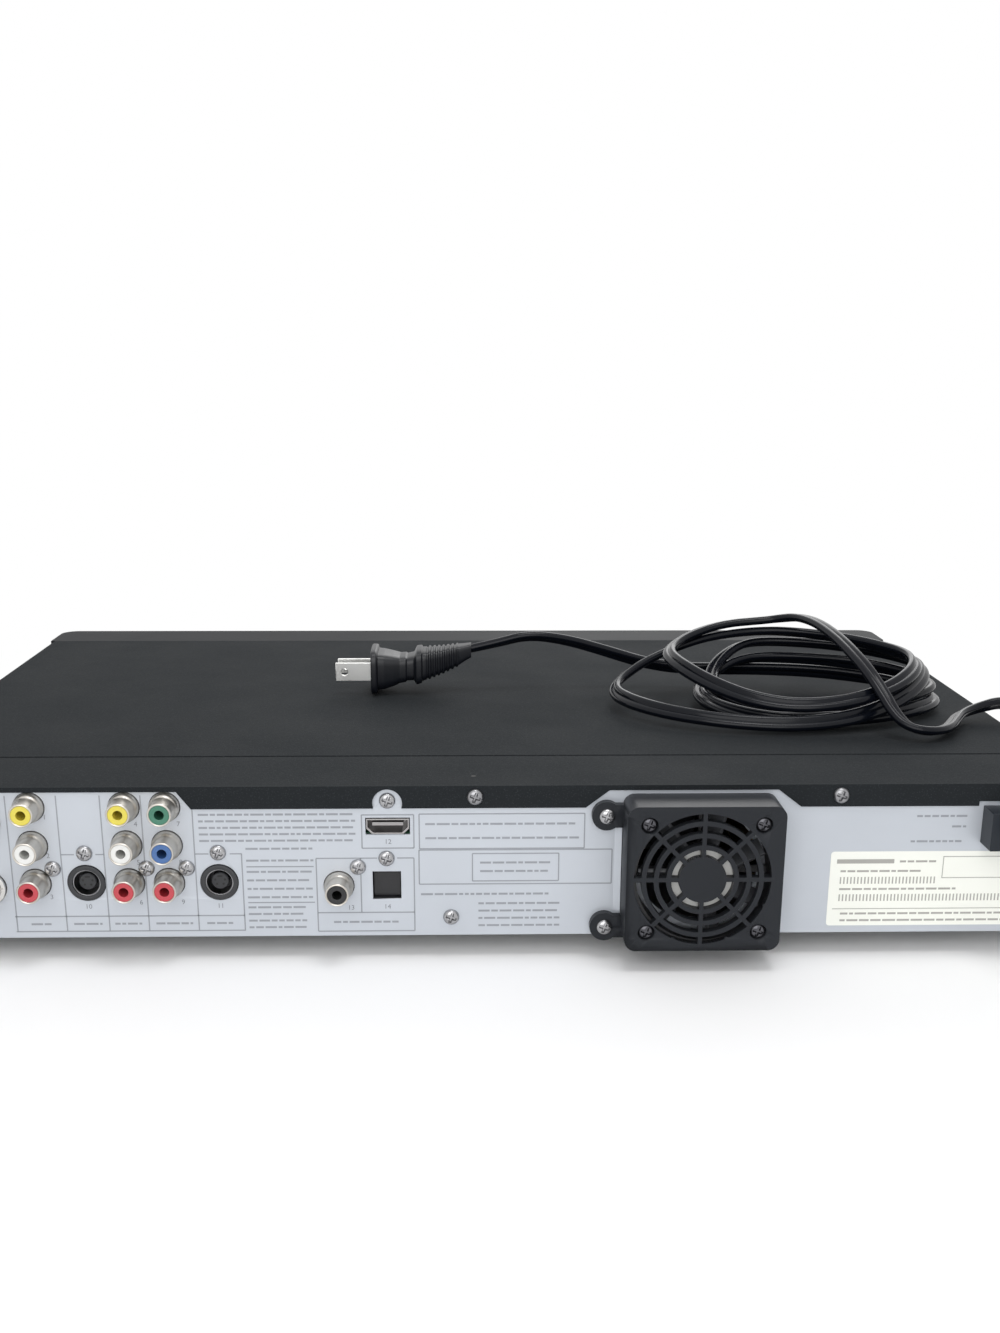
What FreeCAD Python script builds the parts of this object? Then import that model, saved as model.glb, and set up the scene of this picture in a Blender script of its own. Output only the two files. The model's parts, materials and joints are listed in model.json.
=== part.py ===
import FreeCAD, Part
import math
import os
import Sketcher

# Driving sizes
# All in millimetres, or counts where the name says so. The frame: +X is right and -Y is towards
# someone who faces the tray, +Z is up, and the feet stand on Z = 0.
SIZES = {
    # Case
    "body_width": 435, "body_height": 56, "body_depth": 290, "foot_height": 8,
    "bezel_depth": 28, "cover_sheet": 1.0, "panel_sheet": 1.0, "floor_sheet": 1.0,
    "sheet_gap": 0.3, "cover_bend_radius": 3,
    "bead_from_rear": 38, "bead_width": 1.6, "bead_deep": 0.4,
    "side_flange_height": 14, "front_flange_height": 16, "floor_tab_depth": 10,
    "tab_side_gap": 2, "post_inset": 8, "post_rear_inset": 14,
    "vent_count": 14, "vent_width": 2.6, "vent_height": 16, "vent_pitch": 6, "vent_start": 95,
    "vent_low": 24, "foot_radius": 17, "foot_taper": 2, "foot_from_side": 45, "foot_from_end": 42,
    "foot_bore_radius": 6, "foot_bore_deep": 5,
    # Rear flange of the cover: how far it hangs below the top, and places along it
    "flange_drop": 8.1, "flange_thin": 1.8, "flange_av_step": 98.6, "flange_av_run": 4.8,
    "flange_fan_left": 38.5, "flange_fan_right": 114.1, "flange_fan_run": 8.2,
    "flange_notch_radius": 5.2, "flange_notch_drop": 6.4,
    "flange_inlet_start": 177, "flange_inlet_drop": 6.4,
    # Screws
    "screw_head_radius": 2.9, "screw_head_thick": 1.6, "screw_shank_radius": 1.4,
    "screw_shank_length": 5, "screw_slot_deep": 0.9, "screw_slot_width": 0.9,
    "screw_hole_gap": 0.15, "side_screw_from_joint": 26, "side_screw_from_rear": 34,
    "side_screw_low": 9, "cover_screw_a": 0.1, "cover_screw_b": 127.9,
    "cover_screw_drop": 4, "screw_beside_jack": 6.3, "screw_seat": 3.3, "screw_mid_high": 26,
    "svideo_screw_rise": 11.1, "hdmi_screw_rise": 9.35, "digital_screw_rise": 10.1,
    "coax_screw_across": 10.1, "coax_screw_drop": 3.2, "low_screw_across": 8.7,
    "low_screw_high": 6.9,
    # Rear jacks
    "jack_pitch": 14, "jack_low": 20.6, "jack_radius": 4.15, "jack_bore_radius": 3.45,
    "jack_proud": 10, "jack_collar_radius": 5.2, "jack_collar_proud": 2.2, "jack_cone_long": 1.6,
    "jack_insert_radius": 3.4, "jack_contact_radius": 1.7, "jack_insert_recess": 0.3,
    "jack_hole_gap": 0.3, "av_in_across": 154.5, "av_out_gap": 2,
    "block_deep": 13, "block_half": 6, "block_rise": 6,
    "svideo_in_gap": 1.1, "svideo_out_gap": 0.9, "svideo_high": 20.6,
    "svideo_radius": 6.5, "svideo_proud": 0.6, "svideo_bore_radius": 4.9, "svideo_bore_deep": 8,
    "svideo_shield_wall": 0.4, "svideo_half": 7,
    "hdmi_across": 30.7, "hdmi_high": 41.15, "hdmi_width": 15, "hdmi_height": 5.6,
    "hdmi_wall": 0.5, "hdmi_deep": 11, "hdmi_chamfer": 2, "hdmi_proud": 0.4,
    "tongue_width": 11, "tongue_thick": 1.2, "tongue_recess": 1.2,
    "coax_across": 48.3, "digital_high": 19.1, "optical_across": 31.35,
    "optical_width": 9.9, "optical_height": 10.3, "optical_deep": 11.7, "optical_panel_gap": 0.1,
    "shutter_thick": 0.8, "shutter_gap": 0.3, "shutter_pin_radius": 0.6, "shutter_recess": 2.1,
    "antenna_gap": 1.5, "antenna_low": 19, "antenna_pitch": 24,
    "antenna_radius": 4.75, "antenna_bore_radius": 2.6, "antenna_proud": 10,
    "antenna_base_radius": 6, "antenna_base_proud": 1.6,
    "tuner_depth": 48, "tuner_half": 9, "tuner_top": 49,
    # Fan
    "fan_across": 78.75, "fan_width": 54.3, "fan_height": 52.7, "fan_proud": 16,
    "fan_corner": 4, "fan_front_wall": 3, "fan_frame_size": 50, "fan_frame_deep": 10,
    "fan_frame_gap": 0.2, "fan_bore_radius": 23.4, "fan_blade_radius": 22.6, "fan_hub_radius": 10.5,
    "fan_blade_count": 7, "fan_blade_thick": 1.4, "fan_shaft_radius": 1.2, "fan_boss_radius": 10.5,
    "fan_boss_thick": 2, "fan_strut_width": 2.4, "fan_panel_hole_radius": 21.4,
    "grille_centre_across": 78, "grille_hub_radius": 8.3, "grille_ring_bar": 1.7,
    "grille_ring_slot": 2.6, "grille_ring_count": 4, "grille_spoke_width": 1.5,
    "fan_corner_hole_inset": 5.4, "fan_corner_recess_radius": 3, "fan_corner_recess_deep": 2,
    "ear_radius": 5.2, "ear_thick": 3, "ear_across": 45.8, "ear_low": 3.9, "ear_high": 45.3,
    # Mains inlet, cord and plug
    "inlet_across": 187, "inlet_width": 16, "inlet_low": 34, "inlet_high": 47.8,
    "inlet_proud": 10, "inlet_neck_width": 12, "inlet_neck_height": 10, "inlet_flange": 2.5,
    "inlet_flange_over": 1.5, "cord_diameter": 5, "cord_straight": 13,
    "plug_across": 44, "plug_from_rear": 145, "plug_over_cover": 10.2,
    "plug_flange_thick": 3, "plug_half_wide": 12.5, "plug_half_high": 9.8, "plug_corner": 5,
    "plug_waist_long": 7.2, "plug_waist_half_wide": 8.5, "plug_waist_half_high": 6.6,
    "plug_grip_long": 10.2, "plug_grip_half_wide": 9.5, "plug_grip_half_high": 7.2,
    "plug_grip_rise": 2.2, "plug_tail_long": 27, "plug_tail_root": 5.6, "plug_tail_end": 3.3,
    "blade_length": 15.5, "blade_width": 6.4, "blade_neutral_width": 7.9, "blade_thick": 1.5,
    "blade_spacing": 12.7, "blade_hole_radius": 1.6, "blade_hole_from_tip": 3.8, "blade_root": 4,
    # Front
    "bezel_wall": 2.5, "bezel_corner": 8, "button_proud": 1.5,
    "button_gap": 0.3, "button_travel": 0.8, "button_flange": 1,
    "button_flange_thick": 1.2, "power_from_side": 22.5, "power_radius": 6.5, "power_high": 36,
    "small_button_width": 14, "small_button_height": 7, "small_button_pitch": 11,
    "small_button_from_side": 23.5, "small_button_low": 18, "eject_across": 62,
    "window_from_eject": 16, "window_from_buttons": 21, "window_height": 17, "window_high": 41.5,
    "window_lip": 2, "window_lip_thick": 1, "display_depth": 7, "board_behind_front": 14.5,
    "flap_height": 18, "flap_high": 20, "flap_thick": 2,
    "flap_gap": 0.4, "flap_pin_radius": 1.2, "flap_pin_gap": 0.06, "flap_pin_length": 2.5,
    "front_jack_pitch": 17, "front_block_thick": 4,
    "front_jack_proud": 4.6, "front_board_left": 54, "front_board_side_gap": 5.5,
    "switch_body": 6, "boss_radius": 3,
    # Boards
    "board_thick": 1.6, "board_standoff": 4, "standoff_radius": 3, "main_board_left": 60,
    "main_board_side_gap": 10.2, "main_board_front": -40, "main_board_wing_left": 12,
    "main_board_wing_front": 66, "board_rear_gap": 1, "digital_board_width": 70,
    "digital_board_depth": 62, "power_board_side_gap": 4.2, "power_board_right": -108,
    "power_board_front": -30, "power_board_rear": 128, "sink_size": 26, "sink_height": 8,
    "sink_base": 2, "sink_fin_count": 7, "sink_fin_thick": 1.2, "chip_thick": 1.6,
    "core_width": 34, "core_depth": 28, "core_height": 26, "winding_over": 3,
    "bulk_can_radius": 11, "bulk_can_height": 32, "small_can_radius": 5, "small_can_height": 18,
    # Disc drive
    "drive_across": -20, "drive_wall": 7.6, "drive_front_gap": 1.2, "drive_length": 180,
    "drive_post": 3, "drive_floor": 2, "disc_radius": 60, "spindle_from_front": 90.5,
    "seat_rise": 19, "recess_below_disc": 1.5, "tray_plate": 2, "tray_rim_rise": 5,
    "tray_width": 133.6, "tray_rail": 4, "tray_rail_thick": 4, "tray_slide_gap": 0.3,
    "tray_slot_half": 19, "tray_travel": 150, "recess_over_disc": 1,
    "fascia_width": 146, "fascia_height": 14.6, "fascia_thick": 5, "fascia_gap": 0.4,
    "wall_over_tray": 2.5, "bridge_thick": 1, "bridge_width": 34, "clamp_radius": 13,
    "clamp_neck_radius": 9, "clamp_hole_gap": 0.6, "clamp_thick": 2.4,
    "spindle_can_radius": 12, "spindle_can_height": 9, "spindle_shaft_radius": 1.5,
    "turntable_radius": 14, "turntable_thick": 2.5, "turntable_boss": 4, "hub_radius": 7.4,
    "hub_rise": 1.4, "shaft_gap": 0.05, "rod_radius": 1.5, "rod_spread": 22,
    "sled_from_spindle": 14, "sled_length": 28, "sled_half": 19,
    "sled_travel": 36, "lens_radius": 3.5, "lens_from_spindle": 24, "screw_across": 32,
    "screw_radius": 1.5, "motor_can_radius": 5.5, "motor_can_length": 18, "motor_shaft_radius": 0.8,
    "gear_module": 1, "gear_teeth": 20, "gear_thick": 3.5, "gear_across": 42,
    "gear_from_front": 19, "rack_height": 4, "rack_width": 4, "gear_backlash": 0.12,
    "gear_face_gap": 0.3, "rack_before": 8, "rack_after": 4, "rod_block": 4, "screw_sleeve": 4,
    "flap_ear": 3, "flap_knuckle": 0.4, "flap_grip": 10, "boss_low": 8, "eject_half": 5,
    "switch_thick": 3.5, "button_back_gap": 0.3, "button_corner": 1, "stem_radius": 1.5,
    "digital_board_left": 19, "spacer_back": 3,
}

doc = FreeCAD.newDocument("dvd_recorder")
sheet = doc.addObject("Spreadsheet::Sheet", "Sizes")
for row, (alias, number) in enumerate(SIZES.items(), 1):
    sheet.set(f"A{row}", alias)
    sheet.set(f"B{row}", str(number))
    sheet.setAlias(f"B{row}", alias)
doc.recompute()


class Size:
    """A size of the sheet, or one worked out from such sizes: its formula and its number."""

    def __init__(self, text, number):
        self.text = text
        self.number = float(number)

    def __add__(self, other):
        other = sized(other)
        return Size(f"({self.text} + {other.text})", self.number + other.number)

    def __radd__(self, other):
        return sized(other) + self

    def __sub__(self, other):
        other = sized(other)
        return Size(f"({self.text} - {other.text})", self.number - other.number)

    def __rsub__(self, other):
        return sized(other) - self

    def __mul__(self, other):
        other = sized(other)
        return Size(f"({self.text} * {other.text})", self.number * other.number)

    def __rmul__(self, other):
        return sized(other) * self

    def __truediv__(self, other):
        other = sized(other)
        return Size(f"({self.text} / {other.text})", self.number / other.number)

    def __neg__(self):
        return Size(f"(0 - {self.text})", -self.number)


def sized(thing):
    """The thing as a Size, whether it is one already or a plain number."""
    return thing if isinstance(thing, Size) else Size(repr(float(thing)), thing)


class Cells:
    """The sheet's cells by name, each as a Size."""

    def __getattr__(self, name):
        return Size(f"Sizes.{name}", SIZES[name])


s = Cells()
names_used = {}


def fresh(name):
    """A name for a helper object that no other object has."""
    names_used[name] = names_used.get(name, 0) + 1
    return f"{name}_{names_used[name]}"


def bind(thing, prop, size):
    thing.setExpression(prop, sized(size).text)


def put(thing, x, y, z):
    for letter, size in zip("xyz", (x, y, z)):
        bind(thing, f".Placement.Base.{letter}", size)
    return thing


# Solids bound to the sheet

TURNS = {
    "x": FreeCAD.Rotation(FreeCAD.Vector(0, 1, 0), 90),
    "y": FreeCAD.Rotation(FreeCAD.Vector(1, 0, 0), -90),
    "z": FreeCAD.Rotation(),
}


def box(x, y, z):
    """A box from three pairs of sizes, its low and high side along each axis."""
    made = doc.addObject("Part::Box", fresh("block"))
    for prop, (low, high) in zip(("Length", "Width", "Height"), (x, y, z)):
        bind(made, prop, sized(high) - low)
    return put(made, x[0], y[0], z[0])


def rod(axis, start, radius, length):
    """A cylinder from the point start, along an axis."""
    made = doc.addObject("Part::Cylinder", fresh("rod"))
    bind(made, "Radius", radius)
    bind(made, "Height", length)
    made.Placement = FreeCAD.Placement(FreeCAD.Vector(), TURNS[axis])
    return put(made, *start)


def cone(axis, start, radius, end_radius, length):
    """A cone from the point start, along an axis."""
    made = doc.addObject("Part::Cone", fresh("cone"))
    bind(made, "Radius1", radius)
    bind(made, "Radius2", end_radius)
    bind(made, "Height", length)
    made.Placement = FreeCAD.Placement(FreeCAD.Vector(), TURNS[axis])
    return put(made, *start)


def slab(length, width, height, placement):
    """A box in any place, turned any way."""
    made = doc.addObject("Part::Box", fresh("slab"))
    for prop, size in (("Length", length), ("Width", width), ("Height", height)):
        bind(made, prop, size)
    made.Placement = placement
    return made


def join(*solids):
    """The solids as one."""
    if len(solids) == 1:
        return solids[0]
    made = doc.addObject("Part::MultiFuse", fresh("joined"))
    made.Shapes = list(solids)
    return made


def cut(base, *tools):
    """The base without the tools."""
    made = doc.addObject("Part::Cut", fresh("cut"))
    made.Base = base
    made.Tool = join(*tools)
    return made


def group(*solids):
    """Separate solids in one piece."""
    made = doc.addObject("Part::Compound", fresh("group"))
    made.Links = list(solids)
    return made


nodes = []


def node(label, thing):
    """Makes a thing a sub-part: its label names its file."""
    thing.Label = label
    nodes.append(thing)
    return thing


# Bodies from sketches

PLANES = {"XY": "XY_Plane", "XZ": "XZ_Plane", "YZ": "YZ_Plane"}


def new_body(name):
    return doc.addObject("PartDesign::Body", fresh(name))


def new_sketch(body, plane, offset):
    """A sketch on one of the body's own origin planes, moved along its normal."""
    sketch = body.newObject("Sketcher::SketchObject", fresh("sketch"))
    for face in body.Origin.OriginFeatures:
        if getattr(face, "Role", "") == PLANES[plane]:
            sketch.AttachmentSupport = [(face, "")]
    sketch.MapMode = "FlatFace"
    towards = -sized(offset) if plane == "XZ" else sized(offset)
    bind(sketch, ".AttachmentOffset.Base.z", towards)
    return sketch


def pin_point(sketch, geometry, end, across, up):
    """Fixes one point of a sketch at two sizes from its origin."""
    for kind, size in (("DistanceX", across), ("DistanceY", up)):
        size = sized(size)
        index = sketch.addConstraint(
            Sketcher.Constraint(kind, -1, 1, geometry, end, size.number))
        if size.text.startswith(("(", "Sizes")):
            sketch.setExpression(f"Constraints[{index}]", size.text)


def draw_outline(sketch, points):
    """A closed outline through corner points, each a pair of sizes."""
    spots = [FreeCAD.Vector(sized(a).number, sized(b).number, 0) for a, b in points]
    first = len(sketch.Geometry)
    count = len(spots)
    for i, spot in enumerate(spots):
        sketch.addGeometry(Part.LineSegment(spot, spots[(i + 1) % count]), False)
    for i in range(count):
        after = first + (i + 1) % count
        sketch.addConstraint(Sketcher.Constraint("Coincident", first + i, 2, after, 1))
    for i, (a, b) in enumerate(points):
        pin_point(sketch, first + i, 1, a, b)


def draw_rectangle(sketch, across, up):
    """A rectangle from two pairs of sizes."""
    (left, right), (low, high) = across, up
    draw_outline(sketch, [(left, low), (right, low), (right, high), (left, high)])


def draw_circle(sketch, across, up, radius):
    """A circle at two sizes from the sketch's origin."""
    a, b, r = sized(across), sized(up), sized(radius)
    index = sketch.addGeometry(Part.Circle(
        FreeCAD.Vector(a.number, b.number, 0), FreeCAD.Vector(0, 0, 1), r.number), False)
    pin_point(sketch, index, 3, a, b)
    at = sketch.addConstraint(Sketcher.Constraint("Radius", index, r.number))
    sketch.setExpression(f"Constraints[{at}]", r.text)


def draw_rounded(sketch, across, up, radius):
    """A rectangle with four round corners."""
    (left, right), (low, high) = across, up
    left, right, low, high = (sized(v) for v in (left, right, low, high))
    r = sized(radius)
    first = len(sketch.Geometry)
    x0, x1, y0, y1, n = left.number, right.number, low.number, high.number, r.number
    v = FreeCAD.Vector
    sides = [
        (v(x0 + n, y0, 0), v(x1 - n, y0, 0)), (v(x1, y0 + n, 0), v(x1, y1 - n, 0)),
        (v(x1 - n, y1, 0), v(x0 + n, y1, 0)), (v(x0, y1 - n, 0), v(x0, y0 + n, 0)),
    ]
    middles = [v(x1 - n, y0 + n, 0), v(x1 - n, y1 - n, 0), v(x0 + n, y1 - n, 0), v(x0 + n, y0 + n, 0)]
    for a, b in sides:
        sketch.addGeometry(Part.LineSegment(a, b), False)
    for i, middle in enumerate(middles):
        circle = Part.Circle(middle, v(0, 0, 1), n)
        start = (i - 1) * math.pi / 2
        sketch.addGeometry(Part.ArcOfCircle(circle, start, start + math.pi / 2), False)
    for i in range(4):
        arc = first + 4 + i
        sketch.addConstraint(Sketcher.Constraint("Tangent", first + i, 2, arc, 1))
        sketch.addConstraint(Sketcher.Constraint("Tangent", arc, 2, first + (i + 1) % 4, 1))
    for i in range(1, 4):
        sketch.addConstraint(Sketcher.Constraint("Equal", first + 4, first + 4 + i))
    for side, kind in ((0, "Horizontal"), (1, "Vertical"), (2, "Horizontal"), (3, "Vertical")):
        sketch.addConstraint(Sketcher.Constraint(kind, first + side))
    at = sketch.addConstraint(Sketcher.Constraint("Radius", first + 4, n))
    sketch.setExpression(f"Constraints[{at}]", r.text)
    for side, kind, size in ((3, "DistanceX", left), (1, "DistanceX", right),
                             (0, "DistanceY", low), (2, "DistanceY", high)):
        at = sketch.addConstraint(
            Sketcher.Constraint(kind, -1, 1, first + side, 1, size.number))
        sketch.setExpression(f"Constraints[{at}]", size.text)


def pad(body, sketch, length, backwards=False):
    made = body.newObject("PartDesign::Pad", fresh("pad"))
    made.Profile = sketch
    made.Reversed = backwards
    bind(made, "Length", length)
    return made


def pocket(body, sketch, length=None, backwards=False):
    """A pocket of a depth, or through the whole body both ways."""
    made = body.newObject("PartDesign::Pocket", fresh("pocket"))
    made.Profile = sketch
    if length is None:
        made.Type = "ThroughAll"
        made.Midplane = True
    else:
        made.Reversed = backwards
        bind(made, "Length", length)
    return made


def repeat(body, feature, plane_axis, pitch, count):
    """The feature again and again along a line of its sketch."""
    made = body.newObject("PartDesign::LinearPattern", fresh("pattern"))
    made.Originals = [feature]
    made.Direction = (feature.Profile[0], [plane_axis])
    made.Mode = "Spacing"
    bind(made, "Offset", pitch)
    bind(made, "Occurrences", count)
    body.Tip = made
    return made


def turned(label, plane, axis, profile, offset=0):
    """A body turned about an axis of its sketch from the corner points of its half section."""
    body = new_body(label)
    sketch = new_sketch(body, plane, offset)
    draw_outline(sketch, profile)
    made = body.newObject("PartDesign::Revolution", fresh("turn"))
    made.Profile = sketch
    made.ReferenceAxis = (sketch, [axis])
    made.Angle = 360
    return body


# Shared places

half_width = s.body_width / 2
front = s.button_proud - (s.body_depth + s.fan_proud + s.button_proud) / 2
rear = front + s.body_depth
joint = front + s.bezel_depth
base = s.foot_height
top = s.foot_height + s.body_height
floor_top = base + s.floor_sheet
inner_half = half_width - s.cover_sheet - s.sheet_gap
board_bottom = floor_top + s.board_standoff
board_top = board_bottom + s.board_thick
panel_inner = rear - s.panel_sheet

# Places along the rear panel, each counted from its neighbour
av_in = s.av_in_across
av_in_left = av_in - s.screw_beside_jack - s.screw_seat
svideo_in = av_in_left - s.svideo_in_gap - s.svideo_half
av_out = svideo_in - s.svideo_half - s.av_out_gap - s.block_half
component = av_out - s.jack_pitch
av_out_left = component - s.screw_beside_jack - s.screw_seat
svideo_out = av_out_left - s.svideo_out_gap - s.svideo_half
antenna = av_in + s.block_half + s.antenna_gap + s.tuner_half
jack_heights = [base + s.jack_low + s.jack_pitch * i for i in range(3)]
svideo_z = base + s.svideo_high
svideo_screw_z = svideo_z + s.svideo_screw_rise
hdmi_z = base + s.hdmi_high
digital_z = base + s.digital_high
digital_screw_z = digital_z + s.digital_screw_rise
screw_mid_z = base + s.screw_mid_high
block_front = panel_inner - s.block_deep

# Connector screws: place across and height of each
connector_screws = [
    (av_in - s.screw_beside_jack, screw_mid_z),
    (svideo_in, svideo_screw_z),
    (av_out - s.screw_beside_jack, screw_mid_z),
    (component - s.screw_beside_jack, screw_mid_z),
    (svideo_out, svideo_screw_z),
    (s.hdmi_across, hdmi_z + s.hdmi_screw_rise),
    (s.optical_across, digital_screw_z),
    (s.optical_across + s.coax_screw_across, digital_screw_z - s.coax_screw_drop),
    (s.low_screw_across, base + s.low_screw_high),
]


def screw(axis, x, y, z, inwards):
    """A cross-headed screw on a face: inwards is -1 where its shank runs down the axis."""
    head, shank = s.screw_head_thick, s.screw_shank_length
    turn = {"x": 0, "y": 1, "z": 2}[axis]
    spot = [x, y, z]

    def along(amount):
        moved = list(spot)
        moved[turn] = spot[turn] + amount
        return moved

    low = along(0) if inwards < 0 else along(-head)
    made = join(rod(axis, low, s.screw_head_radius, head),
                rod(axis, along(-shank) if inwards < 0 else along(0),
                    s.screw_shank_radius, shank))
    deep, half = s.screw_slot_deep, s.screw_slot_width / 2
    reach = s.screw_head_radius * 0.7
    outer = head if inwards < 0 else -head
    slot = (along(outer - deep)[turn], along(outer)[turn]) if inwards < 0 else (
        along(outer)[turn], along(outer + deep)[turn])
    bars = []
    for first, second in ((reach, half), (half, reach)):
        sides = [(v - first, v + first) for v in spot]
        others = [i for i in range(3) if i != turn]
        sides[others[1]] = (spot[others[1]] - second, spot[others[1]] + second)
        sides[turn] = slot
        bars.append(box(*sides))
    return cut(made, *bars)


# Chassis base: floor, side and front flanges, standoffs

board_rear = panel_inner - s.board_rear_gap
drive_half = s.tray_width / 2 + s.tray_slide_gap + s.drive_wall - s.tray_rail
drive_x = s.drive_across
drive_front = joint + s.floor_sheet + s.drive_front_gap
drive_rear = drive_front + s.drive_length
drive_bottom = floor_top + s.drive_post
main_front, main_left = s.main_board_front, s.main_board_left
main_right = inner_half - s.main_board_side_gap
power_left = s.power_board_side_gap - inner_half
wing_left, wing_front = s.main_board_wing_left, s.main_board_wing_front
inset = s.post_inset
rear_inset = s.post_rear_inset

main_posts = [
    (main_left + inset, main_front + inset), (main_right - inset, main_front + inset),
    (main_left + inset, board_rear - rear_inset), (main_right - inset, board_rear - rear_inset),
    (wing_left + inset, board_rear - rear_inset), (wing_left + inset, wing_front + inset),
]
power_posts = [
    (power_left + inset, s.power_board_front + inset),
    (s.power_board_right - inset, s.power_board_front + inset),
    (power_left + inset, s.power_board_rear - rear_inset),
    (s.power_board_right - inset, s.power_board_rear - rear_inset),
]
drive_posts = [
    (drive_x + side * (drive_half - inset), y)
    for side in (-1, 1) for y in (drive_front + inset, drive_rear - inset)
]
foot_spots = [
    (side * (half_width - s.foot_from_side), y)
    for side in (-1, 1) for y in (front + s.foot_from_end, rear - s.foot_from_end)
]
side_screw_spots = [joint + s.side_screw_from_joint, rear - s.side_screw_from_rear]
side_screw_z = base + s.side_screw_low


def chassis_base():
    floor = box((-inner_half, inner_half), (joint, panel_inner), (base, floor_top))
    flange_top = base + s.side_flange_height
    left = box((-inner_half, s.floor_sheet - inner_half), (joint, panel_inner), (base, flange_top))
    right = box((inner_half - s.floor_sheet, inner_half), (joint, panel_inner), (base, flange_top))
    lip = box((-inner_half, inner_half), (joint, joint + s.floor_sheet),
              (base, base + s.front_flange_height))
    posts = [rod("z", (x, y, floor_top), s.standoff_radius, s.board_standoff)
             for x, y in main_posts + power_posts]
    posts += [rod("z", (x, y, floor_top), s.standoff_radius, s.drive_post)
              for x, y in drive_posts]
    screw_bore = s.screw_shank_radius + s.screw_hole_gap
    bores = [rod("x", (side * inner_half - s.floor_sheet * 1.5, y, side_screw_z), screw_bore,
                 s.floor_sheet * 3)
             for side in (-1, 1) for y in side_screw_spots]
    return node("chassis_base", cut(join(floor, left, right, lip, *posts), *bores))


# Rear panel

def rear_panel():
    body = new_body("rear_panel")
    face = new_sketch(body, "XZ", rear)
    high = top - s.cover_sheet - s.sheet_gap
    corner = s.cover_bend_radius - s.cover_sheet + s.sheet_gap
    draw_outline(face, [(-inner_half, base), (inner_half, base), (inner_half, high - corner),
                        (inner_half - corner, high), (corner - inner_half, high),
                        (-inner_half, high - corner)])
    pad(body, face, s.panel_sheet)
    tab = new_sketch(body, "XZ", panel_inner)
    draw_rectangle(tab, (-(inner_half - s.tab_side_gap), inner_half - s.tab_side_gap),
                   (floor_top, floor_top + s.panel_sheet))
    pad(body, tab, s.floor_tab_depth)
    holes = new_sketch(body, "XZ", rear)
    gap = s.jack_hole_gap
    for x in (av_in, av_out, component):
        for z in jack_heights:
            draw_circle(holes, x, z, s.jack_collar_radius + gap)
    for x in (svideo_in, svideo_out):
        draw_circle(holes, x, svideo_z, s.svideo_radius + gap)
    draw_circle(holes, s.coax_across, digital_z, s.jack_collar_radius + gap)
    for i in range(2):
        draw_circle(holes, antenna, base + s.antenna_low + s.antenna_pitch * i,
                    s.antenna_base_radius + gap)
    draw_circle(holes, -s.fan_across, base + s.fan_height / 2, s.fan_panel_hole_radius)
    half, high = s.hdmi_width / 2 + gap, s.hdmi_height / 2 + gap
    draw_rectangle(holes, (s.hdmi_across - half, s.hdmi_across + half),
                   (hdmi_z - high, hdmi_z + high))
    half = s.optical_width / 2 + s.optical_panel_gap
    high = s.optical_height / 2 + s.optical_panel_gap
    draw_rectangle(holes, (s.optical_across - half, s.optical_across + half),
                   (digital_z - high, digital_z + high))
    half, high = s.inlet_neck_width / 2 + gap, s.inlet_neck_height / 2 + gap
    draw_rectangle(holes, (-s.inlet_across - half, -s.inlet_across + half),
                   (inlet_z - high, inlet_z + high))
    pocket(body, holes)
    threads = new_sketch(body, "XZ", rear)
    spots = connector_screws + cover_screw_spots + ear_spots
    for x, z in spots:
        draw_circle(threads, x, z, s.screw_shank_radius + s.screw_hole_gap)
    pocket(body, threads)
    return node("rear_panel", body)


inlet_z = base + (s.inlet_low + s.inlet_high) / 2
cover_screw_spots = [(s.cover_screw_a, top - s.cover_screw_drop),
                     (-s.cover_screw_b, top - s.cover_screw_drop)]
ear_spots = [(-s.ear_across, base + s.ear_low), (-s.ear_across, base + s.ear_high)]


# Top cover: top, sides and the cut-out rear flange

def top_cover():
    body = new_body("top_cover")
    rear_face = rear + s.cover_sheet
    length = rear_face - joint
    shell = new_sketch(body, "XZ", rear_face)
    draw_rounded(shell, (-half_width, half_width), (base - s.body_height, top),
                 s.cover_bend_radius)
    pad(body, shell, length)
    inside = new_sketch(body, "XZ", rear)
    inner = half_width - s.cover_sheet
    draw_rounded(inside, (-inner, inner), (base - s.body_height * 2, top - s.cover_sheet),
                 s.cover_bend_radius - s.cover_sheet)
    pocket(body, inside, s.body_depth * 2, backwards=True)
    under = new_sketch(body, "XZ", rear_face)
    draw_outline(under, flange_outline())
    pocket(body, under)
    below = new_sketch(body, "XZ", rear_face)
    draw_rectangle(below, (-s.body_width, s.body_width), (base - s.body_height * 1.6, base))
    pocket(body, below)
    notch = new_sketch(body, "XZ", rear_face)
    draw_circle(notch, s.hdmi_across, top - s.flange_notch_drop, s.flange_notch_radius)
    pocket(body, notch, s.cover_sheet, backwards=True)
    bores = new_sketch(body, "XZ", rear_face)
    for x, z in cover_screw_spots:
        draw_circle(bores, x, z, s.screw_shank_radius + s.screw_hole_gap)
    pocket(body, bores, s.cover_sheet, backwards=True)
    bead = new_sketch(body, "YZ", 0)
    bead_y = rear - s.bead_from_rear
    draw_rectangle(bead, (bead_y - s.bead_width / 2, bead_y + s.bead_width / 2),
                   (top - s.bead_deep, top + s.bead_deep))
    pocket(body, bead)
    vent = new_sketch(body, "YZ", 0)
    start = rear - s.vent_start
    draw_rectangle(vent, (start - s.vent_width / 2, start + s.vent_width / 2),
                   (base + s.vent_low, base + s.vent_low + s.vent_height))
    slot = pocket(body, vent)
    repeat(body, slot, "H_Axis", s.vent_pitch, s.vent_count)
    side_bores = new_sketch(body, "YZ", 0)
    for y in side_screw_spots:
        draw_circle(side_bores, y, side_screw_z, s.screw_shank_radius + s.screw_hole_gap)
    pocket(body, side_bores)
    return node("top_cover", body)


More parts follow.
